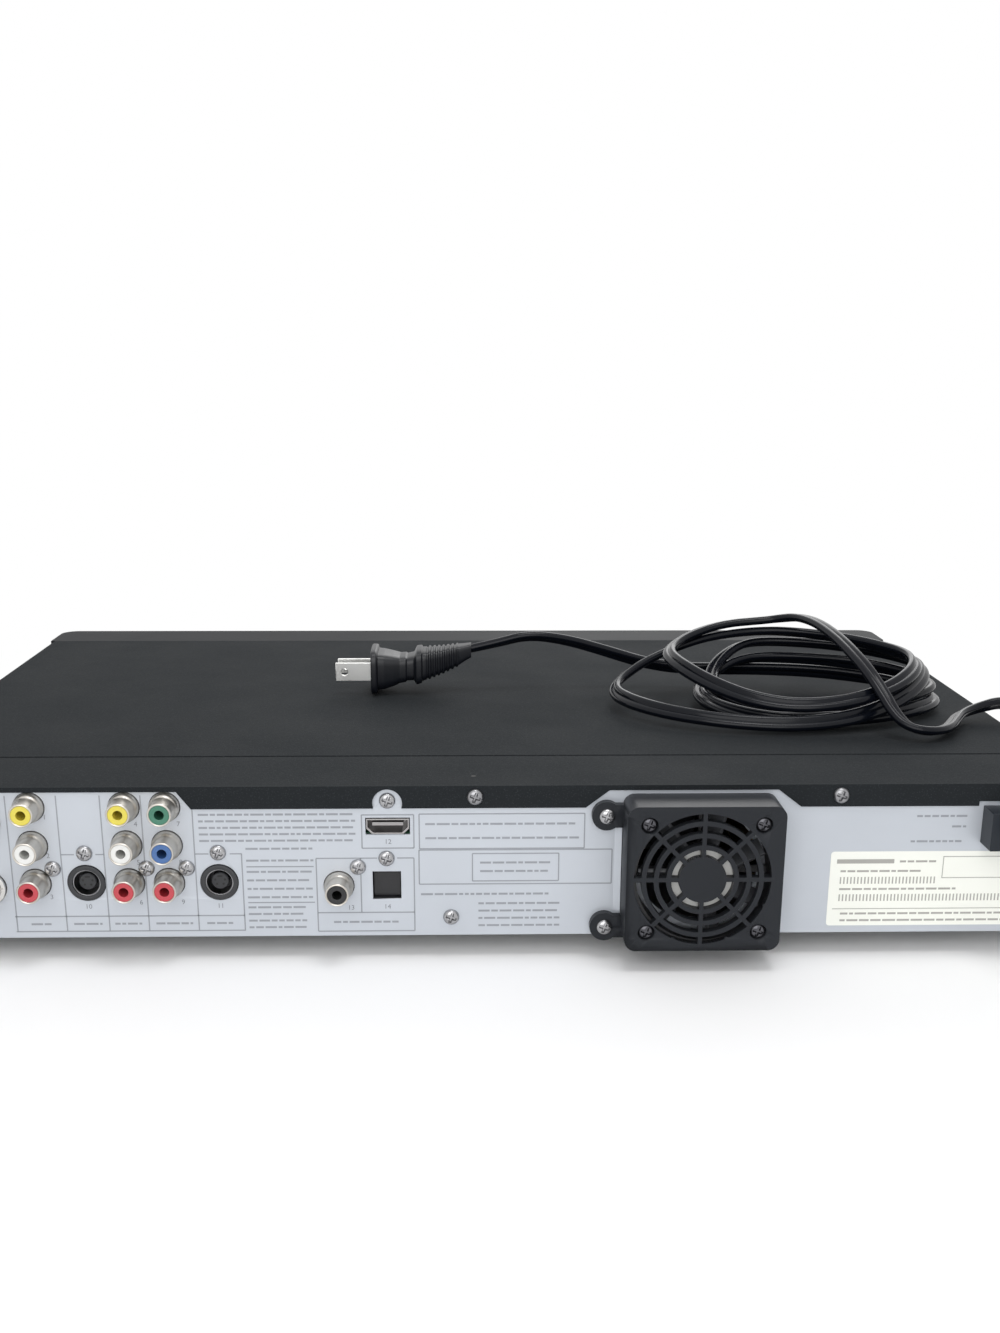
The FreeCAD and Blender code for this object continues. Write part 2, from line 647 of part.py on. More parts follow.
def flange_outline():
    """What is cut away below the flange, and below the sides: the flange's lower edge, from left."""
    low, high = top - s.flange_drop, top - s.flange_thin
    inner = half_width - s.cover_sheet
    floor = base - s.body_height * 1.5
    step, run = s.flange_av_step, s.flange_av_run
    fan_run = s.flange_fan_run
    inlet = top - s.flange_inlet_drop
    return [
        (-inner, floor), (inner, floor), (inner, high), (step + run, high), (step, low),
        (-s.flange_fan_left, low), (-s.flange_fan_left - fan_run, high),
        (-s.flange_fan_right + fan_run, high), (-s.flange_fan_right, low),
        (-s.flange_inlet_start, low), (-s.flange_inlet_start, inlet), (-inner, inlet),
    ]


# Feet and screws

def feet():
    made = []
    for x, y in foot_spots:
        foot = cone("z", (x, y, 0), s.foot_radius - s.foot_taper, s.foot_radius, s.foot_height)
        made.append(cut(foot, rod("z", (x, y, 0), s.foot_bore_radius, s.foot_bore_deep)))
    return node("feet", group(*made))


def cover_screws():
    made = [screw("y", x, rear + s.cover_sheet, z, -1) for x, z in cover_screw_spots]
    for y in side_screw_spots:
        made.append(screw("x", half_width, y, side_screw_z, -1))
        made.append(screw("x", -half_width, y, side_screw_z, 1))
    return node("cover_screws", group(*made))


def panel_screws():
    return node("connector_screws",
                group(*[screw("y", x, rear, z, -1) for x, z in connector_screws]))


def screw_bores():
    """Clearance bores for the shanks that reach into the jack blocks."""
    return [rod("y", (x, rear - s.screw_shank_length - s.screw_hole_gap, z),
                s.screw_shank_radius + s.screw_hole_gap, s.screw_shank_length)
            for x, z in connector_screws]


# Rear jacks

jacks = [(x, z) for x in (av_in, av_out, component) for z in jack_heights]


def rca_blocks():
    depth = (block_front, panel_inner)
    block_top = jack_heights[2] + s.block_rise
    left = box((av_out_left, av_out + s.block_half), depth, (board_top, block_top))
    right = box((av_in_left, av_in + s.block_half), depth, (board_top, block_top))
    return node("rca_blocks", cut(group(left, right), *screw_bores()))


def jack_shell(x, z):
    """A nickel barrel with its collar on the panel."""
    start = (x, panel_inner, z)
    collar = s.panel_sheet + s.jack_collar_proud
    body = join(rod("y", start, s.jack_radius, s.panel_sheet + s.jack_proud),
                rod("y", start, s.jack_collar_radius, collar),
                cone("y", (x, panel_inner + collar, z), s.jack_collar_radius, s.jack_radius,
                     s.jack_cone_long))
    return cut(body, rod("y", start, s.jack_bore_radius, s.panel_sheet + s.jack_proud))


def jack_insert(x, z):
    """The coloured plastic inside a barrel, with the hole for the plug's pin."""
    length = s.panel_sheet + s.jack_proud - s.jack_insert_recess
    return cut(rod("y", (x, panel_inner, z), s.jack_insert_radius, length),
               rod("y", (x, panel_inner + s.panel_sheet, z), s.jack_contact_radius, length))


def rca_jacks():
    barrels = jacks + [(s.coax_across, digital_z)]
    node("rca_shells", group(*[jack_shell(x, z) for x, z in barrels]))
    low, middle, high = jack_heights
    colours = {
        "rca_yellow": [(av_in, high), (av_out, high)],
        "rca_white": [(av_in, middle), (av_out, middle)],
        "rca_red": [(av_in, low), (av_out, low), (component, low)],
        "rca_green": [(component, high)],
        "rca_blue": [(component, middle)],
    }
    for label, spots in colours.items():
        made = [jack_insert(x, z) for x, z in spots]
        node(label, group(*made) if len(made) > 1 else made[0])


def svideo_jacks():
    blocks, shields = [], []
    mouth = rear + s.svideo_proud
    deep = s.svideo_bore_deep
    for x in (svideo_in, svideo_out):
        block = box((x - s.svideo_half, x + s.svideo_half), (block_front, panel_inner),
                    (board_top, svideo_screw_z + s.screw_seat))
        nose = rod("y", (x, panel_inner, svideo_z), s.svideo_radius, s.panel_sheet + s.svideo_proud)
        blocks.append(cut(join(block, nose),
                          rod("y", (x, mouth - deep, svideo_z), s.svideo_bore_radius, deep)))
        shields.append(cut(rod("y", (x, mouth - deep, svideo_z), s.svideo_bore_radius,
                               deep - s.svideo_proud),
                           rod("y", (x, mouth - deep, svideo_z),
                               s.svideo_bore_radius - s.svideo_shield_wall, deep)))
    node("svideo_sockets", cut(group(*blocks), *screw_bores()))
    node("svideo_shields", group(*shields))


def hdmi_outline(x, half_wide, half_high, chamfer):
    """The socket's outline, wide side up, with both lower corners cut off."""
    low, high = hdmi_z - half_high, hdmi_z + half_high
    return [
        (x - half_wide + chamfer, low), (x + half_wide - chamfer, low),
        (x + half_wide, low + chamfer), (x + half_wide, high),
        (x - half_wide, high), (x - half_wide, low + chamfer),
    ]


def hdmi_socket():
    body = new_body("hdmi_shell")
    mouth = rear + s.hdmi_proud
    x, half, high = s.hdmi_across, s.hdmi_width / 2, s.hdmi_height / 2
    outer = new_sketch(body, "XZ", mouth)
    draw_outline(outer, hdmi_outline(x, half, high, s.hdmi_chamfer))
    pad(body, outer, s.hdmi_deep)
    inner = new_sketch(body, "XZ", mouth)
    wall = s.hdmi_wall
    draw_outline(inner, hdmi_outline(x, half - wall, high - wall, s.hdmi_chamfer))
    pocket(body, inner, s.hdmi_deep - wall * 2, backwards=True)
    back = mouth - s.hdmi_deep + wall * 2
    tongue = box((x - s.tongue_width / 2, x + s.tongue_width / 2), (back, mouth - s.tongue_recess),
                 (hdmi_z, hdmi_z + s.tongue_thick))
    return node("hdmi_socket", group(body, tongue))


optical_low = digital_z - s.optical_height / 2
optical_top = digital_z + s.optical_height / 2
shutter_pin_y = panel_inner - s.shutter_recess
shutter_pin_z = optical_top - s.shutter_pin_radius - s.shutter_gap
audio_left = s.optical_across - s.optical_width / 2 - s.screw_seat
audio_right = s.coax_across + s.screw_beside_jack


def digital_audio():
    x, half = s.optical_across, s.optical_width / 2
    block = box((audio_left, audio_right), (block_front, panel_inner),
                (board_top, digital_screw_z + s.screw_seat))
    cavity = box((x - half, x + half), (panel_inner - s.optical_deep, panel_inner),
                 (optical_low, optical_top))
    pin_reach = s.screw_seat / 2
    pin_bore = rod("x", (x - half - pin_reach, shutter_pin_y, shutter_pin_z),
                   s.shutter_pin_radius + s.shaft_gap, s.optical_width + pin_reach * 2)
    node("digital_audio_block", cut(block, cavity, pin_bore, *screw_bores()))
    node("coaxial_insert", jack_insert(s.coax_across, digital_z))
    gap = s.shutter_gap
    thick = s.shutter_thick
    plate = box((x - half + gap, x + half - gap), (shutter_pin_y - thick / 2, shutter_pin_y + thick / 2),
                (optical_low + gap, shutter_pin_z))
    pin = rod("x", (x - half - pin_reach + gap, shutter_pin_y, shutter_pin_z),
              s.shutter_pin_radius, s.optical_width + (pin_reach - gap) * 2)
    node("optical_shutter", join(plate, pin))


def antenna_jacks():
    tuner = box((antenna - s.tuner_half, antenna + s.tuner_half),
                (panel_inner - s.tuner_depth, panel_inner), (board_top, base + s.tuner_top))
    node("tuner_can", tuner)
    made = []
    for i in range(2):
        z = base + s.antenna_low + s.antenna_pitch * i
        start = (antenna, panel_inner, z)
        body = join(rod("y", start, s.antenna_radius, s.panel_sheet + s.antenna_proud),
                    rod("y", start, s.antenna_base_radius, s.panel_sheet + s.antenna_base_proud))
        made.append(cut(body, rod("y", (antenna, rear, z), s.antenna_bore_radius, s.antenna_proud)))
    node("antenna_connectors", group(*made))


# Fan

fan_x = -s.fan_across
fan_z = base + s.fan_height / 2
fan_face = rear + s.fan_proud
fan_inside = fan_face - s.fan_front_wall
fan_back = fan_inside - s.fan_frame_deep
fan_middle = fan_back + s.fan_boss_thick + (s.fan_frame_deep - s.fan_boss_thick) / 2


def fan_corner_spots():
    reach = s.fan_frame_size / 2 - s.fan_corner_hole_inset
    return [(fan_x + a * reach, fan_z + b * reach) for a in (-1, 1) for b in (-1, 1)]


def fan_housing():
    body = new_body("fan_housing")
    outer = new_sketch(body, "XZ", fan_face)
    half = s.fan_width / 2
    draw_rounded(outer, (fan_x - half, fan_x + half), (base, base + s.fan_height), s.fan_corner)
    pad(body, outer, s.fan_proud)
    inside = new_sketch(body, "XZ", rear)
    reach = s.fan_frame_size / 2 + s.fan_frame_gap
    draw_rectangle(inside, (fan_x - reach, fan_x + reach), (fan_z - reach, fan_z + reach))
    pocket(body, inside, s.fan_proud - s.fan_front_wall)
    ears = []
    for x, z in ear_spots:
        ears.append(rod("y", (x, rear, z), s.ear_radius, s.ear_thick))
        ears.append(box((fan_x + half - s.fan_corner, x), (rear, rear + s.ear_thick),
                        (z - s.ear_radius * 0.8, z + s.ear_radius * 0.8)))
    wall = cut(body, *grille_slots())
    inner_room = box((fan_x - reach, fan_x + reach), (rear, fan_inside),
                     (fan_z - reach, fan_z + reach))
    tabs = cut(join(*ears), inner_room)
    bores = []
    bore = s.screw_shank_radius + s.screw_hole_gap
    for x, z in fan_corner_spots():
        bores.append(rod("y", (x, fan_face - s.fan_corner_recess_deep, z),
                         s.fan_corner_recess_radius, s.fan_corner_recess_deep))
        bores.append(rod("y", (x, fan_inside, z), bore, s.fan_front_wall))
    for x, z in ear_spots:
        bores.append(rod("y", (x, rear, z), bore, s.ear_thick))
    return node("fan_housing", cut(join(wall, tabs), *bores))


GRILLE_BARS = 4


def grille_slots():
    """Rings of slots, broken by eight spokes."""
    x = -s.grille_centre_across
    start = fan_inside
    rings = []
    inner = s.grille_hub_radius
    for i in range(SIZES["grille_ring_count"]):
        low = inner + (s.grille_ring_slot + s.grille_ring_bar) * i
        high = low + s.grille_ring_slot
        rings.append(cut(rod("y", (x, start, fan_z), high, s.fan_front_wall),
                         rod("y", (x, start, fan_z), low, s.fan_front_wall)))
    reach = s.fan_width / 2
    half = s.grille_spoke_width / 2
    spokes = []
    centre = FreeCAD.Vector(x.number, start.number, fan_z.number)
    corner = FreeCAD.Placement(FreeCAD.Vector(-reach.number, 0, -half.number), FreeCAD.Rotation())
    for i in range(GRILLE_BARS):
        turn = FreeCAD.Rotation(FreeCAD.Vector(0, 1, 0), 180 * i / GRILLE_BARS)
        spokes.append(slab(reach * 2, s.fan_front_wall, half * 2,
                           FreeCAD.Placement(centre, turn) * corner))
    return [cut(join(*rings), *spokes)]


def fan_frame():
    half = s.fan_frame_size / 2
    frame = cut(box((fan_x - half, fan_x + half), (fan_back, fan_inside), (fan_z - half, fan_z + half)),
                rod("y", (fan_x, fan_back, fan_z), s.fan_bore_radius, s.fan_frame_deep))
    boss = rod("y", (fan_x, fan_back, fan_z), s.fan_boss_radius, s.fan_boss_thick)
    shaft = rod("y", (fan_x, fan_back, fan_z), s.fan_shaft_radius, s.fan_frame_deep - s.fan_boss_thick)
    strut = s.fan_strut_width / 2
    across = box((fan_x - half, fan_x + half), (fan_back, fan_back + s.fan_boss_thick),
                 (fan_z - strut, fan_z + strut))
    upright = box((fan_x - strut, fan_x + strut), (fan_back, fan_back + s.fan_boss_thick),
                  (fan_z, fan_z + half))
    bores = [rod("y", (x, fan_inside - s.screw_shank_length, z),
                 s.screw_shank_radius + s.screw_hole_gap, s.screw_shank_length)
             for x, z in fan_corner_spots()]
    return node("fan_frame", cut(join(frame, boss, shaft, across, upright), *bores))


BLADE_PITCH = 38
BLADE_SHARE = 0.92


def fan_rotor():
    """A hub cup and its pitched blades."""
    start = fan_back + s.fan_boss_thick + s.gear_face_gap
    deep = s.fan_frame_deep - s.fan_boss_thick - s.gear_face_gap * 2
    hub = rod("y", (fan_x, start, fan_z), s.fan_hub_radius, deep)
    bore = rod("y", (fan_x, start, fan_z), s.fan_shaft_radius + s.shaft_gap,
               deep)
    blades = []
    radial = s.fan_blade_radius - s.fan_hub_radius + s.fan_blade_thick
    centre = FreeCAD.Vector(fan_x.number, fan_middle.number, fan_z.number)
    axial = deep * BLADE_SHARE
    thick = SIZES["fan_blade_thick"]
    shift = FreeCAD.Placement(FreeCAD.Vector(
        SIZES["fan_hub_radius"] - thick, -thick / 2, -axial.number / 2), FreeCAD.Rotation())
    pitch = FreeCAD.Placement(FreeCAD.Vector(),
                              FreeCAD.Rotation(FreeCAD.Vector(1, 0, 0), BLADE_PITCH))
    stand = FreeCAD.Placement(FreeCAD.Vector(), TURNS["y"])
    for i in range(SIZES["fan_blade_count"]):
        spin = FreeCAD.Rotation(FreeCAD.Vector(0, 1, 0), 360 * i / SIZES["fan_blade_count"])
        blades.append(slab(radial, s.fan_blade_thick, axial,
                           FreeCAD.Placement(centre, spin) * stand * pitch * shift))
    return node("fan_rotor", cut(join(hub, *blades), bore))


def fan_screws():
    made = [screw("y", x, rear + s.ear_thick, z, -1) for x, z in ear_spots]
    made += [screw("y", x, fan_face - s.fan_corner_recess_deep, z, -1)
             for x, z in fan_corner_spots()]
    return node("fan_screws", group(*made))


# Mains inlet bushing

def cord_bushing():
    x, half, high = -s.inlet_across, s.inlet_width / 2, (s.inlet_high - s.inlet_low) / 2
    block = box((x - half, x + half), (rear, rear + s.inlet_proud), (inlet_z - high, inlet_z + high))
    neck_half, neck_high = s.inlet_neck_width / 2, s.inlet_neck_height / 2
    neck = box((x - neck_half, x + neck_half), (panel_inner, rear),
               (inlet_z - neck_high, inlet_z + neck_high))
    over = s.inlet_flange_over
    flange = box((x - neck_half - over, x + neck_half + over),
                 (panel_inner - s.inlet_flange, panel_inner),
                 (inlet_z - neck_high - over, inlet_z + neck_high + over))
    return node("cord_bushing", join(block, neck, flange))


# Mains cord

# Routes are seen from the rear: how far to the right of the middle, how far in front of the rear
# panel's outer face, and how high over the cover.
LEAD = [(-1, 145, 19), (11, 145.4, 21.5), (25, 146, 25), (42, 147.5, 22.5), (60, 149, 17),
        (77, 150, 11.5), (93, 149.5, 9.2), (109, 149, 9)]

# The hank's turns: the back (in front of the panel, high), the right end (across, high), the front
# and the left end. The first two turns lie nested on the cover, and the last two fan out over them.
LOOPS = [((149, 9), (196, 5.2), (75, 2.7), (96, 5)),
         ((148.5, 15.2), (194, 10.9), (82.5, 5.6), (101, 9.6)),
         ((148, 21.4), (190, 18.2), (66, 3.6), (59, 7.6)),
         ((150, 27.6), (184, 24), (70.5, 9.6), (83, 16.5))]
LOOPS_END = (144.5, 31)
LOOPS_MIDDLE = 128
LOOPS_SIDE = 113

# From the hank it crosses over the loops as a strap, folds at the front, runs over the right edge
# of the cover and back into the bushing
TAIL = [(144, 144.5, 31), (154, 135.5, 34), (159, 121.5, 34.5), (162.5, 106, 31.5),
        (165.5, 92, 27.5), (168.5, 79.5, 22.5), (171.5, 69.5, 16), (174, 62.5, 9), (177, 58, 4),
        (183.5, 57.5, 2.7), (189, 63, 2.7), (191.5, 73, 2.7), (197, 83, 3.2), (206.5, 88.5, 5.4),
        (217, 89, 8), (226, 84.5, 5.5), (231, 74, -2.5), (233, 58, -12), (234, 38, -20),
        (234.5, 17, -25), (234.5, -4, -25.5), (231.5, -21, -22.5), (222.5, -34, -19),
        (208, -39.5, -16.5), (195, -34.5, -15.3)]

ARC_SHARE = 0.45
LEAST_GAP = 0.4
cord_radius = SIZES["cord_diameter"] / 2


def over_cover(across, deep, high):
    return FreeCAD.Vector(-across, rear.number - deep, top.number + high)


def arc_edge(start, corner, end):
    """The arc that leaves start towards the corner and reaches end from it."""
    half_turn = (corner - start).getAngle(end - corner) / 2
    weight = math.cos(half_turn)
    middle = (start + corner * (2 * weight) + end) * (1 / (2 + 2 * weight))
    radius = (corner - start).Length / math.tan(half_turn)
    return Part.Arc(start, middle, end).toShape(), radius


def rounded_path(points):
    """Straight runs joined by tangent arcs, each as large as its two runs allow."""
    edges, radii = [], []
    last = points[0]
    for before, corner, after in zip(points, points[1:], points[2:]):
        run_in, run_out = corner - before, after - corner
        reach = ARC_SHARE * min(run_in.Length, run_out.Length)
        start = corner - run_in * (reach / run_in.Length)
        end = corner + run_out * (reach / run_out.Length)
        arc, radius = arc_edge(start, corner, end)
        edges += [Part.LineSegment(last, start).toShape(), arc]
        radii.append(radius)
        last = end
    edges.append(Part.LineSegment(last, points[-1]).toShape())
    return edges, radii


def biarc(start, leaving, end, arriving):
    """Two tangent arcs from one point and direction to another."""
    span = end - start
    both = leaving + arriving
    square = 2 * (1 - leaving.dot(arriving))
    along = span.dot(both)
    reach = (math.sqrt(along ** 2 + square * span.dot(span)) - along) / square
    corner_in, corner_out = start + leaving * reach, end - arriving * reach
    meeting = (corner_in + corner_out) * 0.5
    return [arc_edge(start, corner_in, meeting), arc_edge(meeting, corner_out, end)]


def hank_knots():
    """The quarter points of the turns, with the direction of the cord at each."""
    spots = []
    for back, right, fore, left in LOOPS:
        spots += [(LOOPS_MIDDLE, *back), (right[0], LOOPS_SIDE, right[1]),
                  (LOOPS_MIDDLE, *fore), (left[0], LOOPS_SIDE, left[1])]
    spots.append((LOOPS_MIDDLE, *LOOPS_END))
    points = [over_cover(*spot) for spot in spots]
    ways = [FreeCAD.Vector(-1, 0, 0), FreeCAD.Vector(0, 1, 0),
            FreeCAD.Vector(1, 0, 0), FreeCAD.Vector(0, -1, 0)]
    directions = []
    for i, point in enumerate(points):
        before, after = points[max(i - 1, 0)], points[min(i + 1, len(points) - 1)]
        level = [FreeCAD.Vector(v.x, v.y, 0) for v in (point - before, after - point)]
        inner = 0 < i < len(points) - 1
        slope = (after.z - before.z) / (level[0].Length + level[1].Length) * QUARTER_SHARE
        direction = ways[i % 4] + FreeCAD.Vector(0, 0, slope if inner else 0)
        directions.append(direction.normalize())
    return points, directions


# A quarter turn is this much of its chord's inverse: the climb along the arc is gentler
QUARTER_SHARE = 1 / 1.12


def hank_path():
    points, directions = hank_knots()
    straight = SIZES["cord_diameter"]
    start = points[0] - directions[0] * straight
    end = points[-1] + directions[-1] * straight
    edges, radii = [Part.LineSegment(start, points[0]).toShape()], []
    for i in range(len(points) - 1):
        for arc, radius in biarc(points[i], directions[i], points[i + 1], directions[i + 1]):
            edges.append(arc)
            radii.append(radius)
    edges.append(Part.LineSegment(points[-1], end).toShape())
    return edges, radii, start, end


def least_gap(edges):
    """The least space between two stretches of the tube, measured on points along it."""
    points = Part.Wire(edges).discretize(Distance=SIZES["cord_diameter"] / 3)
    apart = 15
    least = min(a.distanceToPoint(b) for i, a in enumerate(points) for b in points[i + apart:])
    return least - SIZES["cord_diameter"]


def cord_piece(label, edges, radii):
    """A tube along the path."""
    path = Part.Wire(edges)
    first = edges[0]
    at, along = first.valueAt(first.FirstParameter), first.tangentAt(first.FirstParameter)
    ring = Part.Wire([Part.Circle(at, along, cord_radius).toShape()])
    made = doc.addObject("Part::Feature", fresh(label))
    made.Shape = path.makePipeShell([ring], True, False)
    made.Placement = FreeCAD.Placement()
    share = made.Shape.Volume / (math.pi * cord_radius ** 2 * path.Length)
    print(label, "length", round(path.Length, 1), "volume over section and length", round(share, 4),
          "radii", [round(radius, 1) for radius in radii])
    return node(label, made)


def mains_cord():
    edges, radii, start, end = hank_path()
    cord_piece("cord_hank", edges, radii)
    gap = least_gap(edges)
    print("hank's least gap to itself", round(gap, 3), "wanted over", LEAST_GAP)
    lead = [over_cover(*spot) for spot in LEAD] + [start]
    cord_piece("cord_lead", *rounded_path(lead))
    inlet_end = FreeCAD.Vector(-SIZES["inlet_across"], (rear + s.inlet_proud).number, inlet_z.number)
    before = inlet_end + FreeCAD.Vector(0, SIZES["cord_straight"], 0)
    tail = [end] + [over_cover(*spot) for spot in TAIL] + [before, inlet_end]
    cord_piece("cord_tail", *rounded_path(tail))


plug_y = rear - s.plug_from_rear
plug_z = top + s.plug_over_cover


def plug_slice(label, x, long, half_wide, half_high, rise):
    """A rounded slice of the plug, from x towards the cord."""
    body = new_body(label)
    face = new_sketch(body, "YZ", x - long)
    draw_rounded(face, (plug_y - half_wide, plug_y + half_wide),
                 (plug_z + rise - half_high, plug_z + rise + half_high), s.plug_corner)
    pad(body, face, long)
    return body


def power_plug():
    """A flange, a waist, a grip and a tapered tail that points along the cord."""
    waist_x = s.plug_across - s.plug_flange_thick
    grip_x = waist_x - s.plug_waist_long
    flange = plug_slice("plug_flange", s.plug_across, s.plug_flange_thick,
                        s.plug_half_wide, s.plug_half_high, sized(0))
    waist = plug_slice("plug_waist", waist_x, s.plug_waist_long,
                       s.plug_waist_half_wide, s.plug_waist_half_high, s.plug_grip_rise / 2)
    grip = plug_slice("plug_grip", grip_x, s.plug_grip_long,
                      s.plug_grip_half_wide, s.plug_grip_half_high, s.plug_grip_rise)
    leaving, after = over_cover(*LEAD[0]), over_cover(*LEAD[1])
    along = (after - leaving).normalize()
    tail = doc.addObject("Part::Cone", fresh("plug_tail"))
    bind(tail, "Radius1", s.plug_tail_root)
    bind(tail, "Radius2", s.plug_tail_end)
    bind(tail, "Height", s.plug_tail_long)
    tail.Placement = FreeCAD.Placement(leaving - along * SIZES["plug_tail_long"],
                                       FreeCAD.Rotation(FreeCAD.Vector(0, 0, 1), along))
    node("power_plug", cut(join(flange, waist, grip, tail), *plug_blade_bars(-s.blade_root, 0)))
    holes = [rod("y", (s.plug_across + s.blade_length - s.blade_hole_from_tip,
                       plug_y - s.blade_spacing, plug_z), s.blade_hole_radius, s.blade_spacing * 2)]
    node("plug_blades", cut(group(*plug_blade_bars(-s.blade_root, s.blade_length)), *holes))


def plug_blade_bars(start, end):
    """Both blades, from start to end along their length: the wide one faces the rear."""
    made = []
    for side, width in ((-1, s.blade_width), (1, s.blade_neutral_width)):
        y = plug_y + s.blade_spacing / 2 * side
        made.append(box((s.plug_across + start, s.plug_across + end),
                        (y - s.blade_thick / 2, y + s.blade_thick / 2),
                        (plug_z - width / 2, plug_z + width / 2)))
    return made


# Front bezel and what it holds

front_inside = front + s.bezel_wall
small_x = half_width - s.small_button_from_side
window_left = s.eject_across + s.window_from_eject
window_right = small_x - s.small_button_width / 2 - s.window_from_buttons
window_wide = window_right - window_left
window_x, window_z = (window_left + window_right) / 2, base + s.window_high
flap_x, flap_z = window_x, base + s.flap_high
power_x = s.power_from_side - half_width
front_board_right = half_width - s.front_board_side_gap
flap_low, flap_top = flap_z - s.flap_height / 2, flap_z + s.flap_height / 2
flap_pin_y = front + s.flap_thick / 2
flap_pin_z = flap_low + s.flap_pin_radius + s.flap_gap
disc_seat = drive_bottom + s.drive_floor + s.seat_rise
tray_floor = disc_seat - s.recess_below_disc
tray_bottom = tray_floor - s.tray_plate
tray_top = tray_floor + s.tray_rim_rise
fascia_middle = (tray_top + tray_bottom - s.rack_height) / 2 + s.tray_slide_gap
fascia_low = fascia_middle - s.fascia_height / 2
fascia_top = fascia_middle + s.fascia_height / 2
front_board_y = front + s.board_behind_front
power_z = base + s.power_high
board_screws = [(x, z) for x in (s.front_board_left + inset / 2, front_board_right - inset / 2)
                for z in (base + s.boss_low, top - s.boss_low)]
small_buttons = ["stop_button", "play_button", "record_button"]
small_half = s.small_button_width / 2


def small_button_z(i):
    return base + s.small_button_low + s.small_button_pitch * i


def front_bezel():
    body = new_body("front_bezel")
    plan = new_sketch(body, "XY", base)
    draw_rounded(plan, (-half_width, half_width), (front, joint + s.bezel_depth), s.bezel_corner)
    pad(body, plan, s.body_height)
    behind = new_sketch(body, "XY", base)
    draw_rectangle(behind, (-s.body_width, s.body_width), (joint, joint + s.bezel_depth * 2))
    pocket(body, behind)
    inside = new_sketch(body, "XZ", joint)
    wall = s.bezel_wall
    draw_rectangle(inside, (wall * 2 - half_width, half_width - wall * 2),
                   (base + wall, top - wall))
    pocket(body, inside, s.bezel_depth - wall, backwards=True)
    openings = new_sketch(body, "XZ", joint)
    gap = s.fascia_gap
    half = s.fascia_width / 2 + gap
    draw_rectangle(openings, (drive_x - half, drive_x + half), (fascia_low - gap, fascia_top + gap))
    half, high = window_wide / 2, s.window_height / 2
    draw_rectangle(openings, (window_x - half, window_x + half), (window_z - high, window_z + high))
    gap = s.flap_gap
    half = window_wide / 2 + gap
    draw_rectangle(openings, (flap_x - half, flap_x + half), (flap_low - gap, flap_top + gap))
    gap = s.button_gap
    draw_circle(openings, power_x, power_z, s.power_radius + gap)
    half, high = small_half + gap, s.small_button_height / 2 + gap
    for i in range(len(small_buttons)):
        z = small_button_z(i)
        draw_rectangle(openings, (small_x - half, small_x + half), (z - high, z + high))
    draw_rectangle(openings, (s.eject_across - s.eject_half - gap, s.eject_across + s.eject_half + gap),
                   (eject_z - high, eject_z + high))
    pocket(body, openings)
    for x, z in board_screws + power_board_bosses:
        boss = new_sketch(body, "XZ", front_board_y)
        draw_circle(boss, x, z, s.boss_radius)
        pad(body, boss, s.board_behind_front - wall)
    ears = []
    for side in (-1, 1):
        inner = flap_x + side * (window_wide / 2 + s.flap_gap)
        outer = inner + side * s.flap_ear
        ears.append(box((inner, outer) if side > 0 else (outer, inner),
                        (front_inside, front_inside + s.flap_ear), (flap_low, flap_pin_z + s.flap_ear)))
    pin_bore = rod("x", (flap_x - window_wide / 2 - s.flap_pin_length, flap_pin_y, flap_pin_z),
                   s.flap_pin_radius + s.flap_pin_gap, window_wide + s.flap_pin_length * 2)
    return node("front_bezel", cut(join(body, *ears), pin_bore))


eject_z = fascia_middle
power_board_bosses = [(power_x + s.boss_radius * side * 3, power_z + s.boss_radius * side * 2)
                      for side in (-1, 1)]


def display_window():
    half, high = window_wide / 2, s.window_height / 2
    lip = s.window_lip
    body = new_body("display_window")
    pane = new_sketch(body, "XZ", front_inside)
    draw_rectangle(pane, (window_x - half, window_x + half), (window_z - high, window_z + high))
    pad(body, pane, s.bezel_wall)
    rim = new_sketch(body, "XZ", front_inside + s.window_lip_thick)
    draw_rectangle(rim, (window_x - half - lip, window_x + half + lip),
                   (window_z - high - lip, window_z + high + lip))
    pad(body, rim, s.window_lip_thick)
    return node("display_window", body)


def front_flap():
    half = window_wide / 2
    plate = box((flap_x - half, flap_x + half), (front, front + s.flap_thick), (flap_pin_z, flap_top))
    knuckle = rod("x", (flap_x - half, flap_pin_y, flap_pin_z), s.flap_thick / 2 + s.flap_knuckle,
                  window_wide)
    front_side = box((flap_x - half, flap_x + half), (front - s.flap_thick, front),
                     (flap_low - s.flap_thick, flap_top))
    pin = rod("x", (flap_x - half - s.flap_pin_length + s.flap_gap, flap_pin_y, flap_pin_z),
              s.flap_pin_radius, window_wide + (s.flap_pin_length - s.flap_gap) * 2)
    lip = box((flap_x - s.flap_grip, flap_x + s.flap_grip),
              (front + s.flap_thick, front + s.flap_thick * 1.4),
              (flap_top - s.flap_thick, flap_top - s.flap_thick / 2))
    return node("front_flap", join(cut(join(plate, knuckle), front_side), pin, lip))


def front_sockets():
    """The block behind the flap, with three jacks like those on the rear."""
    half, high = window_wide / 2 - s.flap_gap * 2, s.flap_height / 2 - s.flap_gap
    face = front_board_y - s.front_block_thick
    block = box((flap_x - half, flap_x + half), (face, front_board_y), (flap_z - high, flap_z + high))
    made = [block]
    for i in range(3):
        x = flap_x - half + s.front_jack_pitch * (i + 0.6)
        start = (x, face - s.front_jack_proud, flap_z)
        made.append(cut(rod("y", start, s.jack_radius, s.front_jack_proud),
                        rod("y", start, s.jack_contact_radius, s.front_jack_proud)))
    return node("front_sockets", group(*made))


